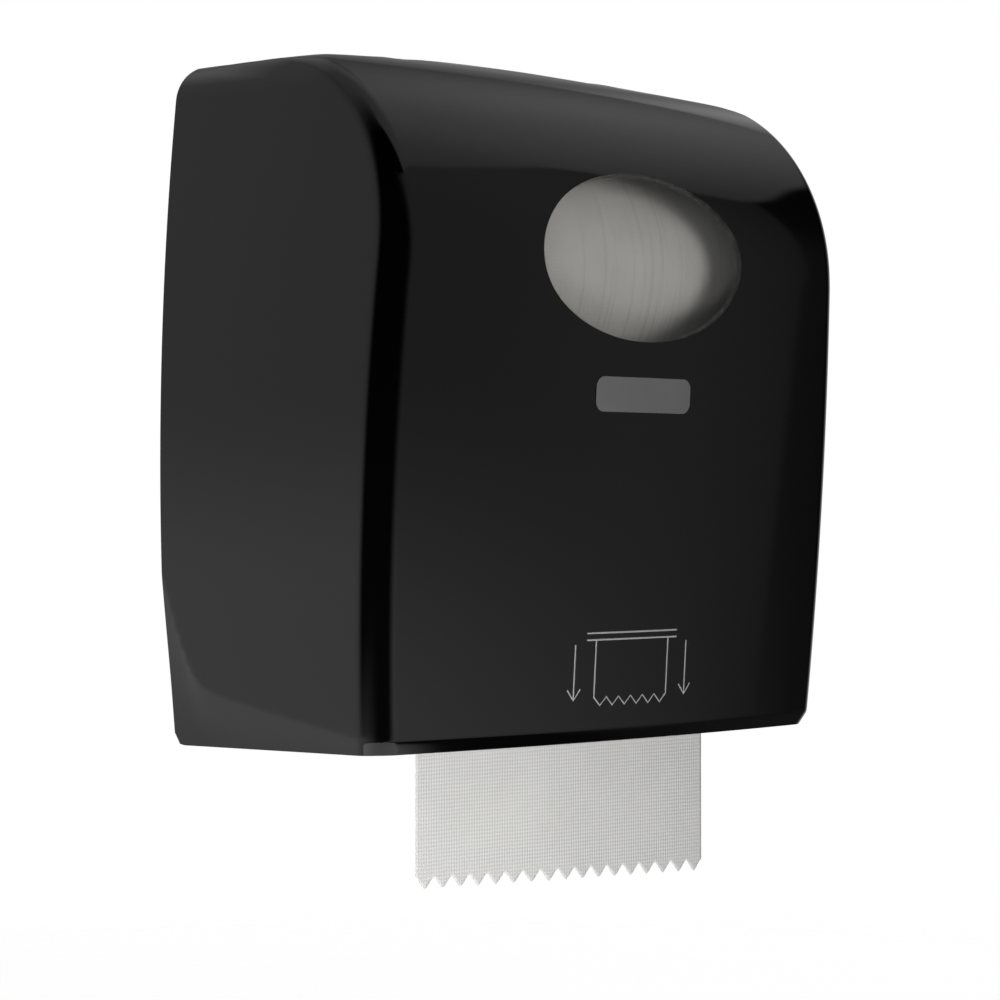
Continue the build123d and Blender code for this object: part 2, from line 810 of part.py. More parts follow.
def make_end_cap():
    """The right end cap of the drum, open between its spokes."""
    outer = drum_radius - drum_wall - end_cap_fit
    start = drum_half_length - end_cap_thickness
    profile = Pos(drum_depth, drum_height) * Circle(outer)
    profile -= Pos(drum_depth, drum_height) * Circle(axle_radius)
    for i in range(1, end_cap_spokes):
        turned = drum_knife_angle + full_turn * i / end_cap_spokes
        centre = polar(drum_depth, drum_height, end_cap_window_ring, turned)
        profile -= Pos(*centre) * Circle(end_cap_window_radius)
    bore = Circle(knife_shaft_radius + axle_clearance)
    profile -= in_drum(Pos(knife_pivot_along, knife_pivot_across) * bore)
    return slab(profile, start, drum_half_length)


def make_axle():
    """The steel axle of the drum."""
    return rod(-axle_end_left, axle_end_right, drum_depth, drum_height, axle_radius)


def make_bands():
    """The rubber grip bands round the drum, open at the knife slot."""
    bands = Part()
    open_half = degrees(asin((drum_slot_half + band_end_gap) / drum_radius))
    start = drum_knife_angle + open_half
    sweep = full_turn - 2 * open_half
    arc = ring_sector(drum_depth, drum_height, drum_radius + band_fit, band_radius, start, sweep)
    for i in (-1, 0, 1):
        bands += slab(arc, i * band_spacing - band_half_width, i * band_spacing + band_half_width)
    return bands


def make_wheel():
    """The hand wheel that feeds the towel, scalloped round its rim and dished outside."""
    profile = Circle(wheel_radius)
    for spot in PolarLocations(wheel_radius + wheel_scallop_offset, wheel_scallops):
        profile -= spot * Circle(wheel_scallop_radius)
    profile -= Circle(axle_radius)
    placed = Pos(drum_depth, drum_height) * profile
    wheel = slab(placed, wheel_inner, wheel_inner + wheel_width)
    outer = wheel_inner + wheel_width
    dish = rod(outer - wheel_dish_depth, far, drum_depth, drum_height, wheel_dish_radius)
    hub = rod(outer - wheel_dish_depth, outer, drum_depth, drum_height, wheel_hub_radius)
    return wheel - (dish - hub)


def make_wheel_screw():
    """The round-headed screw in the axle's end."""
    outer = axle_end_right + wheel_screw_height
    return rod(axle_end_right, outer, drum_depth, drum_height, wheel_screw_radius)


def make_knife_carrier():
    """The bar that carries the blade: a barrel on its shaft and an arm towards the slot."""
    pivot = (knife_pivot_along, knife_pivot_across)
    reach = (knife_tip_along - pivot[0], knife_tip_across - pivot[1])
    length = hypot(*reach)
    angle = degrees(atan(reach[1] / reach[0]))
    short = length - blade_tooth - blade_shown
    arm = Rectangle(short, knife_arm_thickness, align=(Align.MIN, Align.CENTER))
    slit = Rectangle(blade_body, blade_thickness, align=(Align.MIN, Align.CENTER))
    slit = Pos(length - blade_tooth - blade_body, 0) * slit
    profile = Circle(knife_barrel_radius) + arm - slit - Circle(knife_shaft_radius)
    placed = in_drum(Pos(*pivot) * Rot(0, 0, angle) * profile)
    return slab(placed, -knife_half_length, knife_half_length)


def make_blade():
    """The serrated blade, set in the slit of its carrier."""
    pivot = (knife_pivot_along, knife_pivot_across)
    reach = (knife_tip_along - pivot[0], knife_tip_across - pivot[1])
    length = hypot(*reach)
    angle = degrees(atan(reach[1] / reach[0]))
    root = length - blade_tooth - blade_body
    teeth = int(2 * knife_half_length / blade_tooth_pitch)
    pitch = 2 * knife_half_length / teeth
    points = [(-knife_half_length, root), (-knife_half_length, length - blade_tooth)]
    for i in range(teeth):
        points.append((-knife_half_length + pitch * (i + 0.5), length))
        points.append((-knife_half_length + pitch * (i + 1), length - blade_tooth))
    points.append((knife_half_length, root))
    blade = extrude(make_face(Polyline(*points, close=True)), amount=blade_thickness / 2, both=True)
    at = polar(0, 0, hypot(*pivot), degrees(atan(pivot[1] / pivot[0])) + drum_knife_angle)
    turned = Rot(-(drum_knife_angle + angle), 0, 0) * (Rot(180, 0, 0) * blade)
    return Pos(0, -drum_depth - at[0], drum_height + at[1]) * turned


def make_knife_shaft():
    """The knife's steel shaft, which ends in the follower arm beyond the left end cap."""
    left = drum_half_length + follower_arm_gap + follower_arm_thickness
    circle = in_drum(Pos(knife_pivot_along, knife_pivot_across) * Circle(knife_shaft_radius))
    return slab(circle, -left, drum_half_length)


def follower_place():
    """The follower's centre, along and across the slot."""
    return polar(knife_pivot_along, knife_pivot_across, follower_arm, follower_angle)


def make_follower_arm():
    """The crank on the knife's shaft, with the pin of its follower."""
    inner = drum_half_length + follower_arm_gap
    start = (knife_pivot_along, knife_pivot_across)
    end = follower_place()
    middle = ((start[0] + end[0]) / 2, (start[1] + end[1]) / 2)
    link = Pos(*middle) * Rot(0, 0, follower_angle) * Rectangle(follower_arm, 2 * crank_half)
    outline = link + Pos(*start) * Circle(crank_boss_radius) + Pos(*end) * Circle(crank_half)
    outline -= Pos(*start) * Circle(knife_shaft_radius)
    arm = slab(in_drum(outline), -inner - follower_arm_thickness, -inner)
    pin = in_drum(Pos(*end) * Circle(follower_pin_radius))
    outer = inner + follower_arm_thickness
    return arm + slab(pin, -outer - follower_width, -outer)


def make_follower():
    """The small roller on the crank pin, which runs under the cam rail."""
    outer = drum_half_length + follower_arm_gap + follower_arm_thickness
    ring = Circle(follower_radius) - Circle(follower_pin_radius)
    return slab(in_drum(Pos(*follower_place()) * ring), -outer - follower_width, -outer)


def make_cam():
    """The curved cam rail on the inside of the left frame."""
    outer = cam_inner_radius + cam_rail
    rail = ring_sector(drum_depth, drum_height, cam_inner_radius, outer, cam_start, cam_sweep)
    return slab(rail, -frame_inner, -frame_inner + cam_thickness)


def make_carrier():
    """The carrier of the pinch roller: a tube on its shaft and two arms."""
    tube_radius = carrier_shaft_radius + carrier_clearance + carrier_tube_wall
    outer = carrier_arm_inner + carrier_arm_thickness
    tube = rod(-outer, outer, carrier_depth, carrier_height, tube_radius)
    reach = hypot(pinch_depth - carrier_depth, pinch_height - carrier_height)
    angle = degrees(atan((pinch_height - carrier_height) / (pinch_depth - carrier_depth)))
    arm = Pos(reach / 2, 0) * Rectangle(reach, 2 * carrier_arm_half)
    arm += Pos(reach, 0) * Circle(carrier_arm_half)
    arm -= Pos(reach, 0) * Circle(pinch_shaft_radius + carrier_clearance)
    arm = Pos(carrier_depth, carrier_height) * Rot(0, 0, angle) * arm
    body = tube + both_sides(slab(arm, carrier_arm_inner, outer))
    return body - rod(-far, far, carrier_depth, carrier_height, carrier_shaft_radius + carrier_clearance)


def make_carrier_shaft():
    """The fixed shaft between the side frames, on which the carrier rocks."""
    return rod(-frame_outer, frame_outer, carrier_depth, carrier_height, carrier_shaft_radius)


def make_pinch_shaft():
    """The pinch roller's steel shaft."""
    outer = carrier_arm_inner + carrier_arm_thickness
    return rod(-outer, outer, pinch_depth, pinch_height, pinch_shaft_radius)


def make_pinch_sleeves():
    """The rubber sleeves on the pinch roller's shaft."""
    sleeves = Part()
    for i in (-1, 0, 1):
        middle = i * band_spacing
        low, high = middle - pinch_sleeve_half_length, middle + pinch_sleeve_half_length
        sleeve = rod(low, high, pinch_depth, pinch_height, pinch_radius)
        sleeves += sleeve - rod(-far, far, pinch_depth, pinch_height, pinch_shaft_radius)
    return sleeves


def web_tangent():
    """Angle, from forward to up, of the line from the back of the roll to the back of the pinch roller."""
    across = (pinch_depth - roll_depth, pinch_height - roll_height)
    heading = degrees(atan(across[1] / across[0])) + 180
    return heading - degrees(pi / 2 - asin((paper_on_roll - paper_on_pinch) / hypot(*across)))


def make_web():
    """The towel from the back of the roll, under the pinch roller and over the drum."""
    angle = web_tangent()
    half = paper_thickness / 2
    start = polar(roll_depth, roll_height, paper_on_roll + half, angle)
    turn = polar(pinch_depth, pinch_height, paper_on_pinch + half, angle)
    nip = pinch_angle + 180
    line = make_face(
        Polyline(
            polar(*start, half, angle),
            polar(*start, half, angle + 180),
            polar(*turn, half, angle + 180),
            polar(*turn, half, angle),
            close=True,
        )
    )
    outer = paper_on_pinch + paper_thickness
    under = ring_sector(pinch_depth, pinch_height, paper_on_pinch, outer, angle, nip - angle)
    outer = paper_on_drum + paper_thickness
    over = ring_sector(drum_depth, drum_height, paper_on_drum, outer, 0, pinch_angle)
    return slab(line + under + over, -towel_half_width, towel_half_width)


def make_tail():
    """The hanging end of the towel, with the knife's zigzag along its edge."""
    pitch = 2 * towel_half_width / tail_teeth
    points = [(towel_half_width, drum_height), (-towel_half_width, drum_height)]
    for i in range(tail_teeth):
        x = -towel_half_width + pitch * i
        edge = tail_low - tail_skew * x / towel_half_width
        points.append((x, edge + tail_tooth))
        points.append((x + pitch / 2, edge))
    points.append((towel_half_width, tail_low - tail_skew + tail_tooth))
    outline = make_face(Polyline(*points, close=True))
    return slab_front(outline, tail_depth, tail_depth + paper_thickness)


def make_guide():
    """The front wall of the chute, curled forward at its lower edge."""
    back = tail_depth + paper_thickness + guide_gap
    front = back + guide_thickness
    centre = (back + guide_curl + guide_thickness, guide_low + guide_curl + guide_thickness)
    curl = ring_sector(*centre, guide_curl, guide_curl + guide_thickness, 180, 90)
    plate = Rectangle(front - back, guide_top - centre[1], align=(Align.MIN, Align.MIN))
    plate = Pos(back, centre[1]) * plate
    return slab(curl + plate, -frame_inner, frame_inner)


def make_pan():
    """The bottom pan, from the back plate to the rear lip of the chute."""
    front = tail_depth - pan_front_gap
    top = frame_low - pan_drop
    back = plate_rim_depth
    floor = Rectangle(front - pan_curl - back, pan_thickness, align=(Align.MIN, Align.MAX))
    floor = Pos(back, top) * floor
    centre = (front - pan_curl, top + pan_curl - pan_thickness)
    curl = ring_sector(*centre, pan_curl - pan_thickness, pan_curl, 270, 90)
    return slab(floor + curl, -frame_inner, frame_inner)


def make_lock_housing():
    """The flanged housing of the lock, through the top of the cover."""
    top = lock_height()
    low = top - wall - lock_nut_height
    housing = post(0, lock_depth, low, top + lock_flange_height, lock_housing_radius)
    housing += post(0, lock_depth, top + lock_flange_seat, top + lock_flange_height, lock_housing_flange)
    bore = lock_barrel_radius + lock_barrel_clearance
    return housing - post(0, lock_depth, low - overrun, top + overrun, bore)


def lock_barrel_low():
    """Underside of the lock's barrel, where its cam sits."""
    return lock_height() - wall - lock_nut_height - lock_cam_gap


def make_lock_barrel():
    """The turning barrel of the lock, with a plain key slot."""
    top = lock_height() + lock_flange_height
    barrel = post(0, lock_depth, lock_barrel_low(), top, lock_barrel_radius)
    slot = Box(lock_key_slot, lock_key_length, 2 * lock_key_depth)
    return barrel - Pos(0, -lock_depth, top) * slot


def make_lock_cam():
    """The tongue under the barrel, which points forward while the cover is free."""
    outline = Circle(lock_barrel_radius)
    outline += Rectangle(2 * lock_cam_half, lock_cam_length, align=(Align.CENTER, Align.MAX))
    high = lock_barrel_low()
    placed = Pos(0, -lock_depth, high - lock_cam_thickness) * outline
    return extrude(placed, amount=lock_cam_thickness)


def make_strike():
    """The arm on the back plate, with a window that the lock's tongue turns into."""
    high = lock_barrel_low() + strike_clearance
    low = lock_barrel_low() - lock_cam_thickness - strike_clearance
    back = lock_depth - lock_cam_half - strike_clearance
    front = lock_depth + lock_cam_length
    under_rim = crown_height - wall - plate_top_gap - plate_rim_thickness - strike_clearance
    past_rim = plate_rim_depth + strike_clearance
    outer = make_face(
        Polyline(
            (plate_front, low - strike_gusset),
            (plate_front, under_rim),
            (past_rim, under_rim),
            (past_rim, high),
            (strike_front, high),
            (strike_front, low - strike_bar),
            (past_rim + strike_gusset, low - strike_bar),
            close=True,
        )
    )
    window = Rectangle(front - back, high - low + overrun, align=(Align.MIN, Align.MIN))
    window = Pos(back, low) * window
    return slab(outer - window, strike_offset, strike_offset + strike_thickness)


def make_hinge_pins():
    """The two hinge pins of the cover, held in the lugs of the back plate."""
    outer = hinge_ear_end() - wall
    return both_sides(rod(hinge_pin_inner, outer, hinge_depth, hinge_height, hinge_pin_radius))


def build():
    """Every piece by its node name."""
    frame_right = make_frame_right()
    bush = make_bush()
    hub = make_hub()
    rivet = make_hub_rivet()
    cap = make_end_cap()
    return {
        "back_plate": make_back_plate(),
        "side_frame_right": frame_right,
        "side_frame_left": mirror(frame_right, about=Plane.YZ),
        "frame_screws": make_frame_screws(),
        "axle_bushes": both_sides(bush),
        "carrier_shaft": make_carrier_shaft(),
        "knife_cam": make_cam(),
        "chute_guide": make_guide(),
        "bottom_pan": make_pan(),
        "lock_strike": make_strike(),
        "hinge_pins": make_hinge_pins(),
        "roll_arm_left": make_arm_left(),
        "core_hub_left": mirror(hub, about=Plane.YZ),
        "hub_rivet_left": mirror(rivet, about=Plane.YZ),
        "arm_pivot_pin": make_arm_pin(),
        "towel_web": make_web(),
        "towel_tail": make_tail(),
        "roll_arm_right": make_arm_right(),
        "core_hub_right": hub,
        "hub_rivet_right": rivet,
        "core_tube": make_core(),
        "towel_roll": make_roll(),
        "front_cover": make_cover(),
        "window_lens": make_lens(),
        "lock_housing": make_lock_housing(),
        "lock_barrel": make_lock_barrel(),
        "lock_cam": make_lock_cam(),
        "drum_shell_front": make_drum_shell(True),
        "drum_shell_back": make_drum_shell(False),
        "drum_cap_right": cap,
        "drum_cap_left": mirror(cap, about=Plane.YZ),
        "drum_axle": make_axle(),
        "grip_bands": make_bands(),
        "feed_wheel": make_wheel(),
        "wheel_screw": make_wheel_screw(),
        "knife_carrier": make_knife_carrier(),
        "knife_blade": make_blade(),
        "knife_shaft": make_knife_shaft(),
        "follower_arm": make_follower_arm(),
        "cam_follower": make_follower(),
        "roller_carrier": make_carrier(),
        "pinch_shaft": make_pinch_shaft(),
        "pinch_sleeves": make_pinch_sleeves(),
    }


os.makedirs("parts", exist_ok=True)
for name, piece in build().items():
    export_step(piece, f"parts/{name}.step")
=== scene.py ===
import json
import logging
import math
from dataclasses import dataclass
from enum import Enum
from typing import Any, Union

import bmesh
import bpy
import numpy as np
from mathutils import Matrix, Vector


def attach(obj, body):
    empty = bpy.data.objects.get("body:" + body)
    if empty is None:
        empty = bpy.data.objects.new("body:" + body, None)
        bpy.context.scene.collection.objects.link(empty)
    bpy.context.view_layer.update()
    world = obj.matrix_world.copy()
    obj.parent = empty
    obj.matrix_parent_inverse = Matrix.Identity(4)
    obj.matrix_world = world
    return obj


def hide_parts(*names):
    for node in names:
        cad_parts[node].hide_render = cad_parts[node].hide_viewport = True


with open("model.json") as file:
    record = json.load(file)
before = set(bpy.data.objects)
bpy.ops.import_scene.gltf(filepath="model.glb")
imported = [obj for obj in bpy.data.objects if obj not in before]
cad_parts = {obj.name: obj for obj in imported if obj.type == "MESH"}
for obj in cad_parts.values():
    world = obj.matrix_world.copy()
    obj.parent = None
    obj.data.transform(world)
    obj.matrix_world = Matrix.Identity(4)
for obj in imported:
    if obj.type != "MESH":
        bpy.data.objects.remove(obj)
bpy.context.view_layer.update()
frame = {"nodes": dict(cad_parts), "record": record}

MM = 0.001
log = logging.getLogger("towel_dispenser")


class Wire:
    """One output socket of a node, with arithmetic that adds Math nodes."""

    def __init__(self, shader: "Shader", socket: bpy.types.NodeSocket) -> None:
        """Keeps the socket and the tree it is in."""
        self.shader = shader
        self.socket = socket

    def out(self, name: str) -> "Wire":
        """Another output of the same node."""
        return Wire(self.shader, self.socket.node.outputs[name])

    def math(self, operation: str, *others: "Number") -> "Wire":
        """A Math node on this value and the operation's other values."""
        inputs = dict(enumerate((self, *others)))
        return self.shader.node("ShaderNodeMath", {"operation": operation}, inputs)

    def step(self, low: float, high: float) -> "Wire":
        """A smooth rise from 0 at the low value to 1 at the high one."""
        settings = {"interpolation_type": "SMOOTHSTEP"}
        inputs = {"Value": self, "From Min": low, "From Max": high}
        return self.shader.node("ShaderNodeMapRange", settings, inputs)

    def __add__(self, other: "Number") -> "Wire":
        """Sum."""
        return self.math("ADD", other)

    def __mul__(self, other: "Number") -> "Wire":
        """Product."""
        return self.math("MULTIPLY", other)

    def __sub__(self, other: "Number") -> "Wire":
        """Difference."""
        return self.math("SUBTRACT", other)

    def __rsub__(self, other: float) -> "Wire":
        """Difference from a number."""
        return self.math("MULTIPLY", -1.0) + other

    def __truediv__(self, other: "Number") -> "Wire":
        """Quotient."""
        return self.math("DIVIDE", other)


Number = Union[float, Wire]
Colour = Triple = tuple[float, float, float]
Pair = tuple[float, float]
Sockets = dict[str, Any]
BMesh = bmesh.types.BMesh
Rows = np.ndarray


def scaled(colour: Colour, share: float) -> Colour:
    """A colour made darker or lighter."""
    return tuple(c * share for c in colour)


class Shader:
    """A node tree that is built one node at a time."""

    def __init__(self, owner: Union[bpy.types.Material, bpy.types.World]) -> None:
        """Turns the owner's nodes on and keeps its tree."""
        owner.use_nodes = True
        self.tree = owner.node_tree

    def node(
        self, kind: str, settings: dict[str, Any] | None = None, inputs: dict | None = None
    ) -> Wire:
        """Adds a node.

        Args:
            kind: the node's type.
            settings: its own settings, and a ramp's stops as (place, colour) pairs.
            inputs: a value or a Wire for each socket, by name or number.

        Returns:
            The node's first output.
        """
        made = self.tree.nodes.new(kind)
        for name, value in (settings or {}).items():
            if name == "stops":
                for spot, (place, colour) in zip(made.color_ramp.elements, value):
                    spot.position, spot.color = place, (*colour, 1.0)
            else:
                setattr(made, name, value)
        self.feed(made, inputs or {})
        return Wire(self, made.outputs[0])

    def feed(self, node: bpy.types.Node, inputs: dict) -> None:
        """Sets a value or links a Wire for each of a node's sockets, by name or number."""
        for key, value in inputs.items():
            if isinstance(value, Wire):
                self.tree.links.new(value.socket, node.inputs[key])
            else:
                node.inputs[key].default_value = value

    def place(self) -> Wire:
        """The point on the object, in metres in the row frame."""
        return self.node("ShaderNodeTexCoord").out("Object")

    def parts(self, vector: Wire) -> tuple[Wire, Wire, Wire]:
        """A vector's three components."""
        split = self.node("ShaderNodeSeparateXYZ", None, {0: vector})
        return split, split.out("Y"), split.out("Z")

    def stretch(self, vector: Wire, scale: Triple) -> Wire:
        """A vector with each component scaled."""
        inputs = {0: vector, 1: scale}
        return self.node("ShaderNodeVectorMath", {"operation": "MULTIPLY"}, inputs)

    def along(self, way: Wire, axis: Triple) -> Wire:
        """How far a direction points along an axis."""
        inputs = {0: way, 1: axis}
        return self.node("ShaderNodeVectorMath", {"operation": "DOT_PRODUCT"}, inputs).out("Value")

    def noise(self, vector: Wire, scale: float, detail: float = 3.0) -> Wire:
        """Soft noise from 0 to 1 at a scale per metre."""
        inputs = {"Vector": vector, "Scale": scale, "Detail": detail}
        return self.node("ShaderNodeTexNoise", None, inputs)

    def blend(self, share: Wire, low: Colour, high: Colour) -> Wire:
        """A colour between two, by a share from 0 to 1."""
        stops = [(0.0, low), (1.0, high)]
        return self.node("ShaderNodeValToRGB", {"stops": stops}, {0: share})

    def bump(self, height: Wire, strength: float, distance: float) -> Wire:
        """A normal from a height of 0 to 1, where the full height is a distance in metres."""
        inputs = {"Strength": strength, "Distance": distance, "Height": height}
        return self.node("ShaderNodeBump", None, inputs)


@dataclass(frozen=True)
class Finish:
    """A named surface finish."""

    name: str

    def make(self) -> bpy.types.Material:
        """The finish as a material, made once."""
        material = bpy.data.materials.get(f"finish_{self.name}")
        if material is None:
            material = bpy.data.materials.new(f"finish_{self.name}")
            shader = Shader(material)
            shader.feed(shader.tree.nodes["Principled BSDF"], self.sockets(shader))
        return material

    def sockets(self, shader: Shader) -> Sockets:
        """The values and links of the shader's sockets."""
        raise NotImplementedError


@dataclass(frozen=True)
class PolishedShell(Finish):
    """Gloss plastic from a polished mould, with the faintest unevenness."""

    colour: Colour = (0.0016, 0.0016, 0.0018)
    roughness: float = 0.045
    wave: float = 0.00002

    def sockets(self, shader: Shader) -> Sockets:
        """Deep colour, clear gloss, faint cloudiness and mould waves."""
        place = shader.place()
        cloud = shader.noise(place, scale=9.0)
        peel = shader.noise(place, scale=75.0, detail=1.0)
        return {
            "Base Color": shader.blend(cloud, scaled(self.colour, 0.8), self.colour),
            "Roughness": cloud * 0.02 + self.roughness,
            "Normal": shader.bump(peel, strength=0.12, distance=self.wave),
            "Specular IOR Level": 0.5,
            "IOR": 1.5,
        }


@dataclass(frozen=True)
class MouldedPlastic(Finish):
    """Satin plastic with the fine grain of an eroded mould."""

    colour: Colour = (0.1, 0.1, 0.11)
    roughness: float = 0.46
    grain: float = 1400.0

    def sockets(self, shader: Shader) -> Sockets:
        """Fine grain, slow colour drift and uneven satin."""
        place = shader.place()
        drift = shader.noise(place, scale=28.0)
        grain = shader.noise(place, self.grain, detail=2.0)
        return {
            "Base Color": shader.blend(drift, scaled(self.colour, 0.82), self.colour),
            "Roughness": grain * 0.12 + (self.roughness - 0.06),
            "Normal": shader.bump(grain, strength=0.35, distance=0.0001),
        }


@dataclass(frozen=True)
class BrushedMetal(Finish):
    """Metal with fine lines along one direction."""

    colour: Colour = (0.6, 0.61, 0.63)
    roughness: float = 0.3
    lines: Triple = (60.0, 2600.0, 2600.0)

    def sockets(self, shader: Shader) -> Sockets:
        """Lines in the gloss and in the relief, and slow tarnish."""
        place = shader.place()
        lines = shader.noise(shader.stretch(place, self.lines), scale=1.0, detail=2.0)
        tarnish = shader.noise(place, scale=45.0)
        return {
            "Base Color": shader.blend(tarnish, scaled(self.colour, 0.78), self.colour),
            "Metallic": 1.0,
            "Roughness": lines * 0.16 + (self.roughness - 0.08),
            "Normal": shader.bump(lines, strength=0.22, distance=0.00006),
        }


@dataclass(frozen=True)
class GripRubber(Finish):
    """Matte rubber with close ribs along its width."""

    colour: Colour = (0.03, 0.03, 0.033)
    rib: float = 0.0016

    def sockets(self, shader: Shader) -> Sockets:
        """Ribs in the relief, and dust in the colour."""
        place = shader.place()
        across, _, _ = shader.parts(place)
        ribs = (across * (math.tau / self.rib)).math("SINE") * 0.5 + 0.5
        dust = shader.noise(place, scale=160.0)
        return {
            "Base Color": shader.blend(dust, self.colour, scaled(self.colour, 1.8)),
            "Roughness": dust * 0.15 + 0.72,
            "Normal": shader.bump(ribs, strength=0.5, distance=0.0003),
        }


@dataclass(frozen=True)
class WoundCard(Finish):
    """Brown card wound on a slant, with the lines of its plies."""

    colour: Colour = (0.42, 0.31, 0.2)
    centre: Triple = (0.0, -0.084, 0.066)
    ply: float = 0.05

    def sockets(self, shader: Shader) -> Sockets:
        """Slanted ply lines and pulp flecks."""
        place = shader.place()
        across, out, up = shader.parts(place)
        turn = (out - self.centre[1]).math("ARCTAN2", up - self.centre[2]) / math.tau
        seam = (across / self.ply + turn).math("PINGPONG", 0.5) * 2.0
        line = seam.step(0.0, 0.06)
        fleck = shader.noise(place, scale=420.0, detail=4.0)
        relief = line * 0.7 + fleck * 0.3
        return {
            "Base Color": shader.blend(fleck, scaled(self.colour, 0.72), self.colour),
            "Roughness": fleck * 0.1 + 0.8,
            "Normal": shader.bump(relief, strength=0.4, distance=0.0003),
        }


@dataclass(frozen=True)
class EmbossedTowel(Finish):
    """Soft paper towel with a fine woven emboss that follows the sheet, its colour painted darker
    in the emboss's pits as shade.
    """

    colour: Colour = (0.78, 0.775, 0.76)
    # the colour of the emboss's low places: painted shade in the pits
    pit: Colour = (0.54, 0.535, 0.52)
    pitch: float = 0.0016
    depth: float = 0.00028

    def weave(self, shader: Shader, across: Wire, along: Wire) -> Wire:
        """Height of the emboss from 0 to 1, at a flat place in metres."""
        drift = shader.noise(shader.place(), scale=90.0, detail=2.0) * 2.4
        warp = (across * (math.tau / self.pitch) + drift).math("SINE")
        weft = (along * (math.tau / (self.pitch * 1.1)) + drift).math("SINE")
        return (warp + weft + warp * weft * 0.6) * 0.2 + 0.5

    def fibre(self, shader: Shader) -> Wire:
        """Fine upright fibres."""
        drawn = shader.stretch(shader.place(), (700.0, 700.0, 260.0))
        return shader.noise(drawn, scale=1.0, detail=4.0)

    def paper(self, shader: Shader, pit_shade_and_tone: Wire, fibre: Wire, normal: Wire) -> Sockets:
        """The sockets of soft paper, from its tone of 0 to 1, fibres and normal; a low tone is the
        painted shade of the pits.
        """
        return {
            # painted shade: the paper's colour darkens where its relief is low
            "Base Color": shader.blend(pit_shade_and_tone, self.pit, self.colour),
            "Roughness": fibre * 0.08 + 0.86,
            "Normal": normal,
            "Specular IOR Level": 0.2,
        }

    def sockets(self, shader: Shader) -> Sockets:
        """Emboss along the flat sheet, fibres and slow random unevenness, with painted shade in the
        emboss's pits.
        """
        across, along, _ = shader.parts(shader.node("ShaderNodeUVMap", {"uv_map": "flat"}))
        fibre = self.fibre(shader)
        cloud = shader.noise(shader.place(), scale=40.0)
        height = self.weave(shader, across, along) * 0.72 + fibre * 0.28
        normal = shader.bump(height, strength=0.75, distance=self.depth)
        # the colour follows the relief height (painted shade in the pits), mixed with random cloud
        return self.paper(shader, height * 0.7 + cloud * 0.3, fibre, normal)


@dataclass(frozen=True)
class WoundTowel(EmbossedTowel):
    """The wound roll: the same emboss round its side and close windings on its ends."""

    centre: Triple = (0.0, -0.084, 0.066)
    radius: float = 0.0685
    half: float = 0.0955
    winding: float = 0.0011

    def sockets(self, shader: Shader) -> Sockets:
        """Emboss and upright streaks round the side, rings on the ends; the colour follows the
        height, so pits, streaks and gaps between windings are painted darker as shade.
        """
        place = shader.place()
        across, out, up = shader.parts(place)
        out, up = out - self.centre[1], up - self.centre[2]
        along = out.math("ARCTAN2", up) * self.radius
        away = (out * out + up * up).math("SQRT")
        rings = (away * (math.tau / self.winding)).math("SINE") * 0.5 + 0.5
        loose = shader.noise(shader.stretch(place, (30.0, 260.0, 260.0)), scale=1.0, detail=2.0)
        streak = shader.noise(shader.stretch(place, (330.0, 7.0, 7.0)), scale=1.0, detail=1.0)
        fine = shader.noise(shader.stretch(place, (1500.0, 12.0, 12.0)), scale=1.0, detail=2.0)
        end = across.math("ABSOLUTE").step(self.half - 0.0009, self.half - 0.0004)
        pleat = streak.step(0.28, 0.5) * 0.35 + fine * 0.4
        weave = self.weave(shader, across, along) * 0.25 + pleat
        height = weave * (1.0 - end) + (rings * 0.7 + loose * 0.3) * end
        normal = shader.bump(height, strength=0.7, distance=0.0004)
        # painted shade: the colour darkens with the relief, in the pits, the upright streaks and
        # between windings
        return self.paper(shader, height, self.fibre(shader), normal)


@dataclass(frozen=True)
class ClearWindow(Finish):
    """Clear gloss plastic, faintly hazed."""

    haze: float = 0.2

    def sockets(self, shader: Shader) -> Sockets:
        """A thin haze over clear plastic."""
        smear = shader.noise(shader.place(), scale=60.0)
        return {
            "Base Color": (0.06, 0.06, 0.06, 1.0),
            "Roughness": smear * 0.03 + 0.03,
            "Alpha": smear * 0.04 + self.haze,
            "Specular IOR Level": 1.0,
            "Coat Weight": 1.0,
            "Coat Roughness": 0.03,
        }


@dataclass(frozen=True)
class PrintedLine(Finish):
    """Pale print, slightly uneven."""

    colour: Colour = (0.42, 0.42, 0.43)

    def sockets(self, shader: Shader) -> Sockets:
        """Uneven ink."""
        spread = shader.noise(shader.place(), scale=900.0)
        return {
            "Base Color": shader.blend(spread, scaled(self.colour, 0.8), self.colour),
            "Roughness": spread * 0.1 + 0.5,
        }


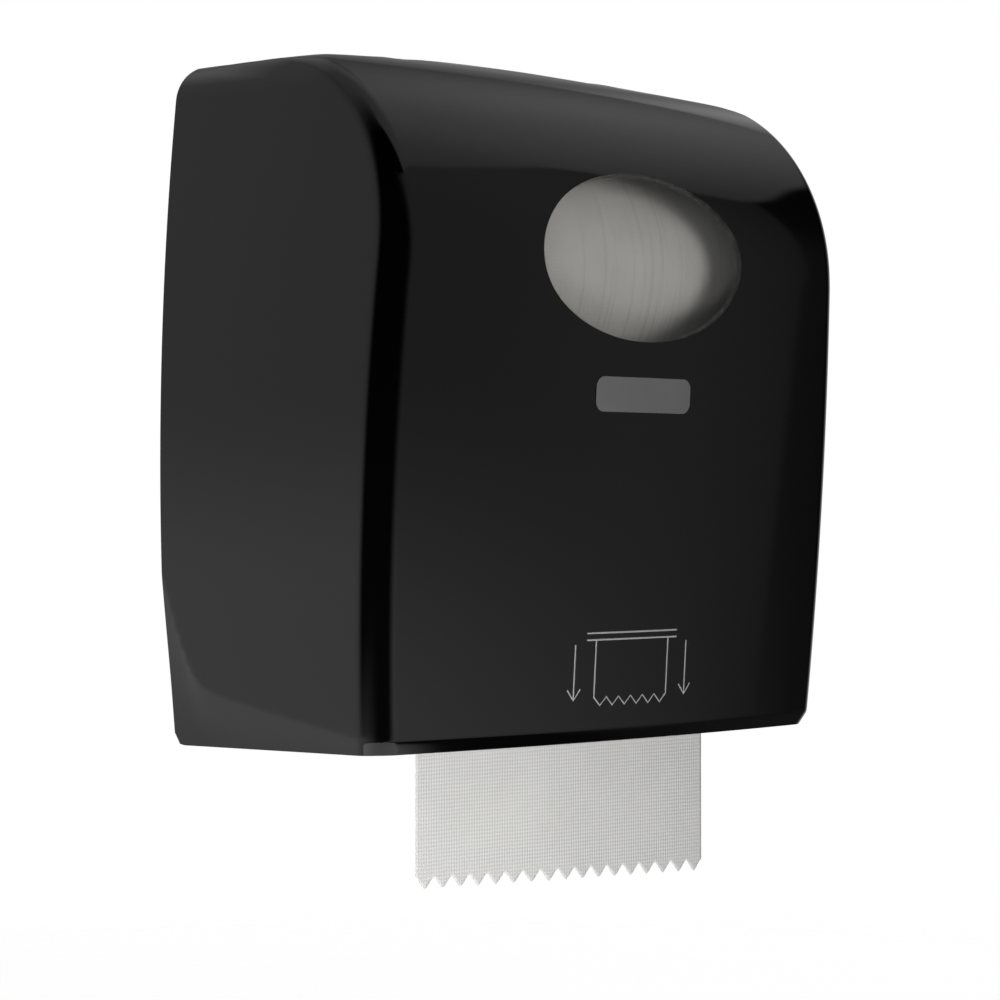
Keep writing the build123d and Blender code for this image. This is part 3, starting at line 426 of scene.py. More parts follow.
class Palette(Enum):
    """The finish of every surface, under its slot's name where a CAD slot has it."""

    COVER_BLACK = PolishedShell("polished_shell")
    SHELL_INSIDE = MouldedPlastic("shell_inside", (0.02, 0.02, 0.022), 0.4, 900.0)
    LENS_CLEAR = ClearWindow("clear_window")
    NAMEPLATE = BrushedMetal("satin_plate", (0.52, 0.52, 0.53), 0.42, (40.0, 1800.0, 1800.0))
    NAMEPLATE_RIM = MouldedPlastic("plate_rim", (0.05, 0.05, 0.055), 0.35, 1500.0)
    SIGN = PrintedLine("sign_print")
    TOWEL_SHEET = EmbossedTowel("embossed_towel")
    # the roll's second colour is the painted shade of its pits, streaks and windings
    TOWEL_PAPER = WoundTowel("wound_towel", (0.86, 0.845, 0.785), (0.66, 0.645, 0.59))
    CORE_CARD = WoundCard("wound_card")
    PLATE_GREY = MouldedPlastic("back_plate_grain", (0.07, 0.07, 0.075), 0.5, 900.0)
    FRAME_GREY = MouldedPlastic("frame_grain", (0.13, 0.13, 0.14), 0.46)
    ARM_GREY = MouldedPlastic("arm_grain", (0.19, 0.19, 0.2), 0.44)
    DRUM_GREY = MouldedPlastic("drum_grain", (0.27, 0.27, 0.28), 0.42)
    WHEEL_GREY = MouldedPlastic("wheel_grain", (0.09, 0.16, 0.26), 0.42)
    BUSH_WHITE = MouldedPlastic("nylon_grain", (0.72, 0.72, 0.69), 0.38)
    ZINC_STEEL = BrushedMetal("plated_steel")
    BLADE_STEEL = BrushedMetal("ground_blade", (0.68, 0.69, 0.71), 0.24, (2600.0, 60.0, 60.0))
    LOCK_METAL = BrushedMetal("satin_lock", (0.66, 0.66, 0.68), 0.2, (700.0, 700.0, 60.0))
    GRIP_RUBBER = GripRubber("grip_rubber")


def soft_positive(value: Rows, reach: float) -> Rows:
    """The value where positive and 0 elsewhere, with a soft turn of this reach."""
    return 0.5 * (value + np.sqrt(value**2 + reach**2))


def round_meet(a: Rows, b: Rows, radius: Rows) -> Rows:
    """Distance outside two forms that meet in an edge of this radius, from those to each."""
    inside = np.minimum(np.maximum(a, b) + radius, 0.0)
    return inside + np.hypot(np.maximum(a + radius, 0.0), np.maximum(b + radius, 0.0)) - radius


@dataclass(frozen=True)
class CoverForm:
    """The cover's outer form in millimetres, as a distance that is 0 on its skin.

    Points are rows of (across, depth from the wall, height).
    """

    half_width: float = 158.0
    widest_height: float = -28.0
    side_bow: float = 1620.0
    side_draft: float = 0.04
    depth: float = 173.4
    front_bow: float = 925.0
    front_lean: float = 0.0664
    crown_height: float = 170.6
    crown_fall: float = 0.035
    crown_flat: float = 102.0
    crown_front_radius: float = 153.0
    crown_arch: float = 1110.0
    shoulder_height: float = 65.6
    shoulder_radius: float = 98.0
    shoulder_end: float = 75.0
    crown_end: float = 60.0
    corner_radius: float = 14.8
    corner_blend: float = 30.0
    brow_radius: float = 1.6
    edge_radius: float = 11.7
    edge_radius_top: float = 5.5
    back: float = 1.5
    base_height: float = -163.4
    base_rise: float = 0.022
    base_back_radius: float = 6.0
    lip_height: float = -153.5
    lip_slope: float = 0.494
    lip_soft: float = 0.5
    tuck_depth: float = 3.6
    tuck_soft: float = 1.1
    foot_soft: float = 0.45
    crease: tuple[float, ...] = (-8.0, -58.6, 21.8, -136.2, 164.0, -157.8)
    foot: tuple[float, ...] = (-14.0, -97.0, 9.0, -156.5, 164.0, -165.0)
    crease_turn: float = 17.0

    def side_reach(self, z: Rows) -> Rows:
        """Half width at the wall."""
        return self.half_width - (z - self.widest_height) ** 2 / (2 * self.side_bow)

    def sag(self, x: Rows) -> Rows:
        """How far the bowed front falls back from its middle."""
        within = np.minimum(np.abs(x), self.half_width * 1.1)
        return self.front_bow - np.sqrt(self.front_bow**2 - within**2)

    def turned_line(self, u: Rows, line: tuple[float, ...]) -> Rows:
        """Height of a line through three points of depth and height, with a soft turn."""
        a, az, b, bz, c, cz = line
        steep = bz + (u - b) * (bz - az) / (b - a)
        level = bz + (u - b) * (cz - bz) / (c - b)
        return level + soft_positive(steep - level, self.crease_turn)

    def tuck(self, u: Rows, z: Rows) -> Rows:
        """How far the side is tucked in under the crease."""
        crease = self.turned_line(u, self.crease)
        foot = self.turned_line(u, self.foot)
        share = soft_positive(crease - z, self.tuck_soft) / np.maximum(crease - foot, 1.0)
        rest = soft_positive(1.0 - share, self.foot_soft)
        return self.tuck_depth * (soft_positive(np.ones_like(share), self.foot_soft) - rest)

    def lip(self, z: Rows) -> Rows:
        """How far the lower lip is undercut."""
        return self.lip_slope * soft_positive(self.lip_height - z, self.lip_soft)

    def side_gap(self, x: Rows, u: Rows, z: Rows) -> Rows:
        """Distance outside the sides."""
        return np.abs(x) - self.side_reach(z) + self.side_draft * u + self.tuck(u, z)

    def front_gap(self, x: Rows, u: Rows, z: Rows) -> Rows:
        """Distance outside the leaning front and its shoulder."""
        lean = math.atan(self.front_lean)
        out = u + self.sag(x) - (self.depth - self.shoulder_radius)
        up = z - self.shoulder_height
        turn = np.clip(np.arctan2(up, out), -lean, math.radians(self.shoulder_end))
        return out * np.cos(turn) + up * np.sin(turn) - self.shoulder_radius + self.lip(z)

    def crown_turn(self) -> Triple:
        """The fall of the flat top as an angle, and depth and height where its turn is centred."""
        fall, radius = math.atan(self.crown_fall), self.crown_front_radius
        depth = self.crown_flat - radius * math.sin(fall)
        height = self.crown_height - self.crown_fall * self.crown_flat - radius * math.cos(fall)
        return fall, depth, height

    def crown_gap(self, x: Rows, u: Rows, z: Rows) -> Rows:
        """Distance outside the arched top, which falls and then turns down."""
        fall, depth, height = self.crown_turn()
        raised = np.hypot(x, z - self.crown_height + self.crown_arch)
        out, up = u - depth, raised - self.crown_arch + self.crown_height - height
        turn = np.clip(np.arctan2(out, up), fall, math.radians(self.crown_end))
        return out * np.sin(turn) + up * np.cos(turn) - self.crown_front_radius

    def gap(self, points: Rows) -> Rows:
        """Distance outside the whole form."""
        x, u, z = points.T
        side, front = self.side_gap(x, u, z), self.front_gap(x, u, z)
        sine = np.clip((z - self.shoulder_height) / self.shoulder_radius, 0.0, 1.0)
        shrink = np.clip(np.degrees(np.arcsin(sine)) / self.shoulder_end, 0.0, 1.0)
        edge = self.edge_radius + (self.edge_radius_top - self.edge_radius) * shrink
        lateral = np.clip(0.5 + (side - front) / self.corner_blend, 0.0, 1.0)
        lateral = lateral**2 * (3 - 2 * lateral)
        brow = self.brow_radius + (self.corner_radius - self.brow_radius) * lateral
        return round_meet(round_meet(side, front, edge), self.crown_gap(x, u, z), brow)

    def slope(self, points: Rows) -> Rows:
        """The gradient of the distance."""
        small = 0.02
        rises = [self.gap(points + s) - self.gap(points - s) for s in np.eye(3) * small]
        return np.stack([rise / (2 * small) for rise in rises], axis=1)

    def normals(self, points: Rows) -> Rows:
        """Unit normals of the skin."""
        slope = self.slope(points)
        return slope / np.linalg.norm(slope, axis=1, keepdims=True)

    def settle(self, points: Rows, free: Rows, passes: int = 14) -> Rows:
        """Moves points onto the skin.

        Args:
            points: rows of points near it.
            free: for each point, 1 for each direction it may move in.
            passes: how often it is corrected.

        Returns:
            The moved points.
        """
        least = 0.05
        for _ in range(passes):
            slope = self.slope(points) * free
            size = np.maximum((slope**2).sum(axis=1, keepdims=True), least)
            points = points - slope * self.gap(points)[:, None] / size
        return points

    def low_edge(self, u: Rows) -> Rows:
        """Height of the lower edge, round where it meets the wall."""
        radius = self.base_back_radius
        plain = self.base_height + self.base_rise * u
        inner = np.clip((u - self.back - radius) / radius, -1.0, 0.0)
        return plain + radius * (1 - np.sqrt(1 - inner**2))

    def front_at(self, x: Rows, z: Rows) -> Rows:
        """Depth of the front over a place in front view."""
        radius, height = self.shoulder_radius, self.shoulder_height
        joint = height - radius * math.sin(math.atan(self.front_lean))
        up = np.clip(z - height, joint - height, radius)
        arc = self.depth - radius + np.sqrt(radius**2 - up**2)
        return arc - self.front_lean * np.maximum(joint - z, 0.0) - self.sag(x)

    def crown_at(self, x: Rows, u: Rows) -> Rows:
        """Height of the top over a place in plan."""
        _, depth, height = self.crown_turn()
        arc = height + np.sqrt(np.maximum(self.crown_front_radius**2 - (u - depth) ** 2, 0.0))
        plain = self.crown_height - self.crown_fall * u
        return np.where(u < self.crown_flat, plain, arc) - x**2 / (2 * self.crown_arch)


def to_row(points: Rows) -> Rows:
    """Points of (across, depth, height) in millimetres as places in the row frame."""
    return points * np.array([MM, -MM, MM])


def to_form(places: Rows) -> Rows:
    """Places in the row frame as points of (across, depth, height) in millimetres."""
    return places / np.array([MM, -MM, MM])


def read_verts(bm: BMesh) -> Rows:
    """A mesh's vertex places as rows."""
    return np.array([v.co for v in bm.verts], float).reshape(-1, 3)


def write_verts(bm: BMesh, places: Rows) -> None:
    """Sets a mesh's vertex places from rows."""
    for vert, place in zip(bm.verts, places):
        vert.co = place


def new_verts(made: dict[str, Any]) -> list[bmesh.types.BMVert]:
    """The vertices that an extrusion made."""
    return [g for g in made["geom"] if isinstance(g, bmesh.types.BMVert)]


def second_skin(bm: BMesh) -> list[bmesh.types.BMVert]:
    """Doubles all faces, joined round their rim, and gives the new vertices."""
    return new_verts(bmesh.ops.extrude_face_region(bm, geom=bm.faces[:], use_keep_orig=True))


def face_out(bm: BMesh) -> None:
    """Turns all faces of a closed form outwards."""
    bmesh.ops.recalc_face_normals(bm, faces=bm.faces[:])


def to_mesh(bm: BMesh, name: str) -> bpy.types.Mesh:
    """A mesh of a bmesh, which is freed."""
    mesh = bpy.data.meshes.new(name)
    bm.to_mesh(mesh)
    bm.free()
    return mesh


def stand(name: str, data: bpy.types.ID) -> bpy.types.Object:
    """A new object with this data in the scene."""
    obj = bpy.data.objects.new(name, data)
    bpy.context.scene.collection.objects.link(obj)
    return obj


def evaluated(obj: bpy.types.Object) -> bpy.types.Mesh:
    """A new mesh of the object with its modifiers and bevels in it."""
    graph = bpy.context.evaluated_depsgraph_get()
    return bpy.data.meshes.new_from_object(obj.evaluated_get(graph))


def point(obj: bpy.types.Object, place: Triple, way: Vector) -> None:
    """Puts a lamp or a camera at a place and points it a way."""
    obj.location = place
    obj.rotation_mode = "QUATERNION"
    obj.rotation_quaternion = way.to_track_quat("-Z", "Y")


def straight(start: Pair, end: Pair, steps: int) -> list[Pair]:
    """Points in even steps from one point to another, with both."""
    (ax, az), (bx, bz) = start, end
    return [(ax + (bx - ax) * i / steps, az + (bz - az) * i / steps) for i in range(steps + 1)]


def turned(section: list[Pair], axis: Pair, steps: int) -> BMesh:
    """A closed section turned round an axis that runs across the part.

    Args:
        section: its corners as place across and distance from the axis.
        axis: depth and height of the axis.
        steps: faces round the turn.

    Returns:
        The turned form.
    """
    bm = bmesh.new()
    depth, height = axis
    verts = [bm.verts.new(Vector((x, -depth, height + r)) * MM) for x, r in section]
    edges = [bm.edges.new(pair) for pair in zip(verts, verts[1:] + verts[:1])]
    centre = Vector((0.0, -depth, height)) * MM
    round_axis = {"cent": centre, "axis": (1, 0, 0), "angle": math.tau, "steps": steps}
    bmesh.ops.spin(bm, geom=verts + edges, use_merge=True, **round_axis)
    face_out(bm)
    return bm


def publish(
    bm: BMesh, name: str, finishes: list[Palette], body: str, smooth: bool = True
) -> bpy.types.Object:
    """Makes an object of a bmesh and lets it ride on a body.

    Args:
        bm: the mesh, which is freed.
        name: the piece's name.
        finishes: its material slots.
        body: the CAD body it rides on.
        smooth: whether its faces are shaded smooth.

    Returns:
        The object.
    """
    mesh = to_mesh(bm, name)
    for finish in finishes:
        mesh.materials.append(finish.value.make())
    if smooth:
        mesh.shade_smooth()
    obj = stand(name, mesh)
    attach(obj, body)
    log.info("%s rides on %s with %d faces", name, body, len(mesh.polygons))
    return obj


@dataclass
class CoverShell:
    """The crowned cover as one thin shell with a window."""

    form: CoverForm = CoverForm()
    wall: float = 2.8
    cuts: tuple[int, int, int] = (96, 52, 120)
    crowd: tuple[Pair, Pair, Pair] = ((0.45, 0.55), (0.5, 0.5), (0.5, 0.25))
    first_depth: float = 0.6
    shape_passes: int = 12
    rim: float = 0.999
    near_skin: Pair = (1.0, 1.2)
    window_height: float = 68.0
    window_half: Pair = (66.0, 39.8)
    window_steps: int = 144
    cutter_back: float = 100.0
    cutter_length: float = 120.0
    ear_radius: float = 7.5
    ear_bore: float = 3.05
    ear_place: Pair = (14.0, -149.0)
    ear_span: Pair = (138.4, 147.9)
    ear_steps: int = 40

    def skin(self) -> BMesh:
        """The open outer skin as a fine grid, settled on the form."""
        bm = bmesh.new()
        bmesh.ops.create_cube(bm, size=2.0)
        gone = [f for f in bm.faces if f.normal.y > 0.5 or f.normal.z < -0.5]
        bmesh.ops.delete(bm, geom=gone, context="FACES")
        for axis, cuts in enumerate(self.cuts):
            edges = [e for e in bm.edges if abs((e.verts[1].co - e.verts[0].co)[axis]) > 1.0]
            bmesh.ops.subdivide_edges(bm, edges=edges, cuts=cuts, use_grid_fill=True)
        write_verts(bm, to_row(self.shaped(read_verts(bm))))
        return bm

    def shaped(self, box: Rows) -> Rows:
        """Places of a box's skin on the form, crowded towards its edges.

        Args:
            box: places on a box from -1 to 1.

        Returns:
            Points on the form.
        """
        form = self.form
        a, b, c = box[:, 0], (1 - box[:, 1]) / 2, (1 + box[:, 2]) / 2
        (a_even, a_bent), (b_even, b_bent), (c_even, c_bent) = self.crowd
        a = a_even * a + a_bent * np.sin(a * math.pi / 2)
        b = b_even * b + b_bent * np.sin(b * math.pi / 2)
        c = c_even * c + c_bent * (1 - np.cos(c * math.pi))
        x, u = a * form.half_width, b * form.depth * self.first_depth
        for _ in range(self.shape_passes):
            low = form.low_edge(u)
            z = low + c * (form.crown_at(x, u) - low)
            x = a * (form.side_reach(z) - form.side_draft * u)
            u = form.back + b * (form.front_at(x, z) - form.back)
        free = np.ones_like(box)
        free[box[:, 1] > self.rim, 1] = 0.0
        free[box[:, 2] < -self.rim, 2] = 0.0
        return form.settle(np.stack([x, u, z], axis=1), free)

    def thicken(self, bm: BMesh) -> None:
        """Adds the inner wall and the edges between the walls."""
        inner = second_skin(bm)
        points = to_form(np.array([v.co for v in inner], float))
        for vert, place in zip(inner, to_row(points - self.wall * self.form.normals(points))):
            vert.co = place
        face_out(bm)

    def window_cutter(self) -> bpy.types.Object:
        """An oval bar through the front, for the window."""
        bm = bmesh.new()
        made = bmesh.ops.create_circle(bm, cap_ends=True, segments=self.window_steps, radius=1.0)
        wide, tall = self.window_half
        for vert in made["verts"]:
            x, z = vert.co.x * wide, vert.co.y * tall + self.window_height
            vert.co = Vector((x, -self.cutter_back, z)) * MM
        bar = second_skin(bm)
        bmesh.ops.translate(bm, vec=(0.0, -self.cutter_length * MM, 0.0), verts=bar)
        face_out(bm)
        return stand("window_cutter", to_mesh(bm, "window_cutter"))

    def ear(self, side: int) -> BMesh:
        """A hinge ear as a turned ring, on the right for 1 and on the left for -1."""
        near, end = (side * x for x in self.ear_span)
        bore, radius = self.ear_bore, self.ear_radius
        section = [(near, bore), (end, bore), (end, radius), (near, radius)]
        return turned(section, self.ear_place, self.ear_steps)

    def dress(self, mesh: bpy.types.Mesh) -> None:
        """Gives both skins of the finished shell their true normals and finishes."""
        centres = np.array([p.center for p in mesh.polygons], float)
        away = self.form.gap(to_form(centres))
        outer = np.abs(away) < self.near_skin[0]
        inner = np.abs(away + self.wall) < self.near_skin[1]
        places = np.array([v.co for v in mesh.vertices], float)
        skin = self.form.normals(to_form(places)) * np.array([[1.0, -1.0, 1.0]])
        loops = np.zeros((len(mesh.loops), 3))
        for poly in mesh.polygons:
            poly.material_index = 0 if outer[poly.index] or not inner[poly.index] else 1
            poly.use_smooth = True
            span = slice(poly.loop_start, poly.loop_start + poly.loop_total)
            if outer[poly.index] or inner[poly.index]:
                normals = skin[list(poly.vertices)]
                loops[span] = normals if outer[poly.index] else -normals
            else:
                loops[span] = poly.normal
        mesh.normals_split_custom_set(loops.tolist())

    def build(self) -> None:
        """Makes the cover with its window and its hinge ears."""
        bm = self.skin()
        self.thicken(bm)
        cover = publish(bm, "cover_shell", [Palette.COVER_BLACK, Palette.SHELL_INSIDE], "cover")
        cutter = self.window_cutter()
        cut = cover.modifiers.new("window", "BOOLEAN")
        cut.operation, cut.solver, cut.object = "DIFFERENCE", "EXACT", cutter
        mesh = evaluated(cover)
        cover.modifiers.clear()
        cover.data = mesh
        bpy.data.objects.remove(cutter)
        self.dress(mesh)
        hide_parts("front_cover")
        for side, word in ((1, "right"), (-1, "left")):
            ring = self.ear(side)
            ear = publish(ring, f"hinge_ear_{word}", [Palette.SHELL_INSIDE], "cover", smooth=False)


@dataclass
class WindowLens:
    """The clear oval lens, flush with the cover's front at its rim and faintly domed."""

    form: CoverForm = CoverForm()
    height: float = 68.0
    half: Pair = (65.75, 39.55)
    plug: float = 2.95
    dome: float = 2.2
    flange: float = 5.0
    flange_share: float = 0.018
    flange_thickness: float = 1.5
    segments: int = 120
    rings: int = 14
    sharp_angle: float = 30.0

    def blank(self) -> BMesh:
        """The lens drawn flat on a circle of radius 1, from its front to its back.

        Returns:
            The flat mesh, with how far each vertex is set in from the front.
        """
        bm = bmesh.new()
        ring = {"thickness": 1.0 / (self.rings + 1), "use_even_offset": False}
        bmesh.ops.create_circle(bm, cap_ends=True, segments=self.segments, radius=1.0)
        for _ in range(self.rings):
            middle = max(bm.faces, key=lambda f: len(f.verts))
            bmesh.ops.inset_region(bm, faces=[middle], **ring)
        front = bm.faces[:]
        layer = bm.verts.layers.float.new("inset")
        back = self.plug + self.flange_thickness
        for grow, inset in ((0.0, self.plug), (self.flange, self.plug), (self.flange, back)):
            rim = [e for e in bm.edges if e.is_boundary]
            for vert in new_verts(bmesh.ops.extrude_edge_only(bm, edges=rim)):
                vert[layer] = inset
                flat = Vector((vert.co.x, vert.co.y, 0.0))
                vert.co = flat.normalized() * (1.0 + grow * self.flange_share)
        rim = [e for e in bm.edges if e.is_boundary]
        closing = bmesh.ops.contextual_create(bm, geom=rim)["faces"]
        for _ in range(self.rings):
            bmesh.ops.inset_region(bm, faces=closing, **ring)
        fronts = {v for f in front for v in f.verts}
        for vert in bm.verts:
            if vert not in fronts and vert[layer] == 0.0:
                vert[layer] = back
        return bm

    def build(self) -> None:
        """Lays the flat lens on the front and domes it."""
        bm = self.blank()
        layer = bm.verts.layers.float["inset"]
        insets = np.array([v[layer] for v in bm.verts])
        flat = read_verts(bm)
        x, z = flat[:, 0] * self.half[0], flat[:, 1] * self.half[1] + self.height
        points = np.stack([x, self.form.front_at(x, z), z], axis=1)
        rise = np.maximum(1.0 - (flat[:, 0] ** 2 + flat[:, 1] ** 2) ** 2, 0.0)
        raised = self.dome * rise * (insets == 0.0)
        points = points + self.form.normals(points) * (raised - insets)[:, None]
        write_verts(bm, to_row(points))
        face_out(bm)
        lens = publish(bm, "lens", [Palette.LENS_CLEAR], "cover")
        lens.data.set_sharp_from_angle(angle=math.radians(self.sharp_angle))
        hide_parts("window_lens")


@dataclass
class Nameplate:
    """A bare satin plate under the window."""

    form: CoverForm = CoverForm()
    centre: Pair = (0.3, 3.3)
    half: Pair = (31.4, 8.2)
    corner: float = 5.0
    corner_steps: int = 8
    rim: float = 0.8
    thickness: float = 0.35
    strips: int = 16

    def build(self) -> None:
        """Makes the plate from one face with rounded corners."""
        bm = bmesh.new()
        bmesh.ops.create_grid(bm, x_segments=1, y_segments=1, size=1.0)
        wide, tall = self.half
        bmesh.ops.scale(bm, vec=(wide, tall, 1.0), verts=bm.verts[:])
        arc = {"offset": self.corner, "segments": self.corner_steps, "profile": 0.5}
        bmesh.ops.bevel(bm, geom=bm.verts[:], affect="VERTICES", material=-1, **arc)
        bmesh.ops.inset_region(bm, faces=bm.faces[:], thickness=self.rim)
        inner = max(bm.faces, key=lambda f: len(f.verts))
        for face in bm.faces:
            face.material_index = 0 if face == inner else 1
        for step in range(1, self.strips):
            at = -wide + 2 * wide * step / self.strips
            geom = bm.verts[:] + bm.edges[:] + bm.faces[:]
            bmesh.ops.bisect_plane(bm, geom=geom, plane_co=(at, 0, 0), plane_no=(1, 0, 0))
        low = set(second_skin(bm))
        lift = np.array([-self.thickness if v in low else self.thickness for v in bm.verts])
        flat = read_verts(bm)
        x, z = flat[:, 0] + self.centre[0], flat[:, 1] + self.centre[1]
        write_verts(bm, to_row(np.stack([x, self.form.front_at(x, z) + lift, z], axis=1)))
        face_out(bm)
        finishes = [Palette.NAMEPLATE, Palette.NAMEPLATE_RIM]
        publish(bm, "bare_plate", finishes, "cover", smooth=False)


@dataclass
class PullSign:
    """A plain line sign for pulling a sheet: a sheet with a toothed edge between two arrows."""

    form: CoverForm = CoverForm()
    centre: Pair = (0.6, -126.5)
    sheet: Pair = (24.0, 15.0)
    teeth: int = 6
    tooth: Pair = (3.0, 1.0)
    bar: Pair = (6.0, 3.2)
    arrow: Pair = (37.0, 13.0)
    barb: Pair = (4.0, 5.0)
    line: float = 0.42
    lift: float = 0.3
    spacing: float = 5.0

    def strokes(self) -> list[list[Pair]]:
        """The sign's lines in front view, from its centre."""
        wide, tall = self.sheet
        pitch = 2 * wide / self.teeth
        root, tip = -tall + self.tooth[0], -tall - self.tooth[1]
        edge = [(-wide, tall), (-wide, root)]
        for i in range(self.teeth):
            edge += [(-wide + pitch * (i + 0.5), tip), (-wide + pitch * (i + 1), root)]
        edge.append((wide, tall))
        end = wide + self.bar[0]
        lines = [edge, *([(-end, z), (end, z)] for z in (tall, tall + self.bar[1]))]
        out, half = self.arrow
        back, up = self.barb
        for x in (-out, out):
            lines.append([(x, half), (x, -half)])
            lines.append([(x - back, -half + up), (x, -half), (x + back, -half + up)])
        return lines

    def build(self) -> None:
        """Makes the lines as low round ridges on the front."""
        curve = bpy.data.curves.new("sign_lines", "CURVE")
        curve.dimensions, curve.bevel_depth, curve.bevel_resolution = "3D", self.line, 2
        curve.use_fill_caps = True
        for stroke in self.strokes():
            spline = curve.splines.new("POLY")
            points = self.divided(stroke)
            spline.points.add(len(points) - 1)
            for spot, (x, z) in zip(spline.points, points):
                spot.co = (x + self.centre[0], 0.0, z + self.centre[1], 1.0)
        drawn = stand("sign_lines", curve)
        mesh = evaluated(drawn)
        bm = bmesh.new()
        bm.from_mesh(mesh)
        bpy.data.objects.remove(drawn)
        bpy.data.meshes.remove(mesh)
        x, out, z = read_verts(bm).T
        raised = self.form.front_at(x, z) - out * self.lift
        write_verts(bm, to_row(np.stack([x, raised, z], axis=1)))
        publish(bm, "pull_sign", [Palette.SIGN], "cover")

    def divided(self, stroke: list[Pair]) -> list[Pair]:
        """A stroke with a point every few millimetres, so that it lies on the bowed front."""
        points = [stroke[0]]
        for a, b in zip(stroke, stroke[1:]):
            points += straight(a, b, max(1, round(math.dist(a, b) / self.spacing)))[1:]
        return points


@dataclass
class TowelSheet:
    """The towel from the roll, round the pinch roller and the drum, to its toothed end."""

    half: float = 95.5
    columns: int = 136
    thickness: float = 0.3
    roll: Triple = (84.0, 66.0, 69.0)
    pinch: Triple = (59.199, -38.0154, 10.5)
    drum: Triple = (76.3, -85.0, 39.5)
    nip: float = 110.0
    bend_step: float = 5.0
    run_rows: int = 26
    tail_rows: int = 54
    low: float = -230.0
    skew: float = 3.5
    teeth: int = 17
    tooth: float = 5.6
    tooth_start: float = 0.93
    tooth_share: float = 0.07
    ripple: float = 1.1
    ripple_start: float = 0.25
    ripples: tuple[Triple, ...] = ((0.6, 36.0, 0.7), (0.4, 15.0, 2.0))

    def leave(self) -> float:
        """Angle of the straight run's ends on the roll and the pinch roller, in degrees."""
        across, up = self.pinch[0] - self.roll[0], self.pinch[1] - self.roll[1]
        heading = math.degrees(math.atan2(up, across))
        lean = math.degrees(math.acos((self.roll[2] - self.pinch[2]) / math.hypot(across, up)))
        return heading % 360.0 - lean

    def bend(self, roller: Triple, start: float, end: float) -> list[Pair]:
        """Points round a roller.

        Args:
            roller: its depth, height and radius.
            start: first angle in degrees, counted from forward to up.
            end: last angle.

        Returns:
            The points as depth and height.
        """
        depth, height, radius = roller
        steps = max(4, round(abs(end - start) / self.bend_step))
        angles = [math.radians(start + (end - start) * i / steps) for i in range(steps + 1)]
        return [(depth + radius * math.cos(a), height + radius * math.sin(a)) for a in angles]

    def path(self) -> list[Pair]:
        """The sheet's side view from the roll to its end."""
        leave = self.leave()
        start = self.bend(self.roll, leave, leave)[0]
        under = self.bend(self.pinch, leave, self.nip + 180.0)
        over = self.bend(self.drum, self.nip, 0.0)
        run = straight(start, under[0], self.run_rows)
        tail = straight(over[-1], (over[-1][0], self.low), self.tail_rows)
        return run[:-1] + under + over[1:] + tail[1:]

    def build(self) -> None:
        """Makes the sheet by drawing its side view across."""
        bm = bmesh.new()
        run = bm.verts.layers.float.new("run")
        path = self.path()
        verts, length = [], 0.0
        for i, (u, z) in enumerate(path):
            length += math.hypot(u - path[i - 1][0], z - path[i - 1][1]) if i else 0.0
            verts.append(bm.verts.new((-self.half * MM, -u * MM, z * MM)))
            verts[-1][run] = length * MM
        edges = [bm.edges.new(pair) for pair in zip(verts, verts[1:])]
        column = {"dvec": (2 * self.half * MM / self.columns, 0, 0), "steps": self.columns}
        level = {"cent": (0, 0, 0), "axis": (1, 0, 0), "angle": 0.0}
        bmesh.ops.spin(bm, geom=verts + edges, **level, **column)
        points = to_form(read_verts(bm))
        hung = self.hung(points)
        for vert, drop in zip(bm.verts, points[:, 2] - hung[:, 2]):
            vert[run] += drop * MM
        flat = bm.loops.layers.uv.new("flat")
        for face in bm.faces:
            for loop in face.loops:
                loop[flat].uv = (loop.vert.co.x, loop.vert[run])
        write_verts(bm, to_row(hung))
        face_out(bm)
        sheet = publish(bm, "towel_sheet", [Palette.TOWEL_SHEET], "root")
        wall = sheet.modifiers.new("paper", "SOLIDIFY")
        wall.thickness, wall.offset = self.thickness * MM, 0.0
        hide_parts("towel_web", "towel_tail")
        length * MM

    def hung(self, points: Rows) -> Rows:
        """The hanging end with its skew, teeth and faint ripple.

        Args:
            points: the flat sheet's points.

        Returns:
            The shaped points.
        """
        x, u, z = points.T.copy()
        top = self.drum[1]
        share = np.clip((top - z) / (top - self.low), 0.0, 1.0) * (u > self.drum[0])
        phase = (x + self.half) / (2 * self.half) * self.teeth
        saw = np.abs((phase % 1.0) - 0.5) * 2.0
        saw = 0.5 * saw + 0.5 * saw**2 * (3.0 - 2.0 * saw)
        ends = np.clip((share - self.tooth_start) / self.tooth_share, 0.0, 1.0)
        z = z - self.skew * x / self.half * share + self.tooth * saw * ends
        wave = sum(size * np.sin(x / length + turn) for size, length, turn in self.ripples)
        u = u + self.ripple * wave * np.clip(share - self.ripple_start, 0.0, 1.0)
        return np.stack([x, u, z], axis=1)


@dataclass
class WoundRoll:
    """The wound towel roll with softened edges."""

    half: float = 95.5
    radius: float = 68.5
    bore: float = 21.05
    place: Pair = (84.0, 66.0)
    edge: float = 1.4
    edge_turn: float = 0.3
    side_cuts: int = 6
    steps: int = 144

    def build(self) -> None:
        """Makes the roll by turning its section."""
        soft, small = self.half - self.edge, self.edge * self.edge_turn
        section = [(-self.half, self.bore), (-self.half, self.radius - self.edge)]
        section += [(-self.half + small, self.radius - small), (-soft, self.radius)]
        cuts = self.side_cuts
        section += [(soft * i / cuts, self.radius) for i in range(1 - cuts, cuts)]
        section += [(-x, r) for x, r in reversed(section[:4])]
        bm = turned(section, self.place, self.steps)
        roll = publish(bm, "wound_roll", [Palette.TOWEL_PAPER], "roll")
        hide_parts("towel_roll")


class Mechanism:
    """The carried-over pieces, each with the finish of its slot."""

    def dress(self) -> None:
        """Gives every carried-over piece its finish."""
        slots = {part["node"]: part["material_slot"] for part in frame["record"]["subparts"]}
        for name, node in frame["nodes"].items():
            finish = Palette[slots[name].upper()]
            node.data.materials.clear()
            node.data.materials.append(finish.value.make())
            log.info("%s has finish %s", name, finish.value.name)


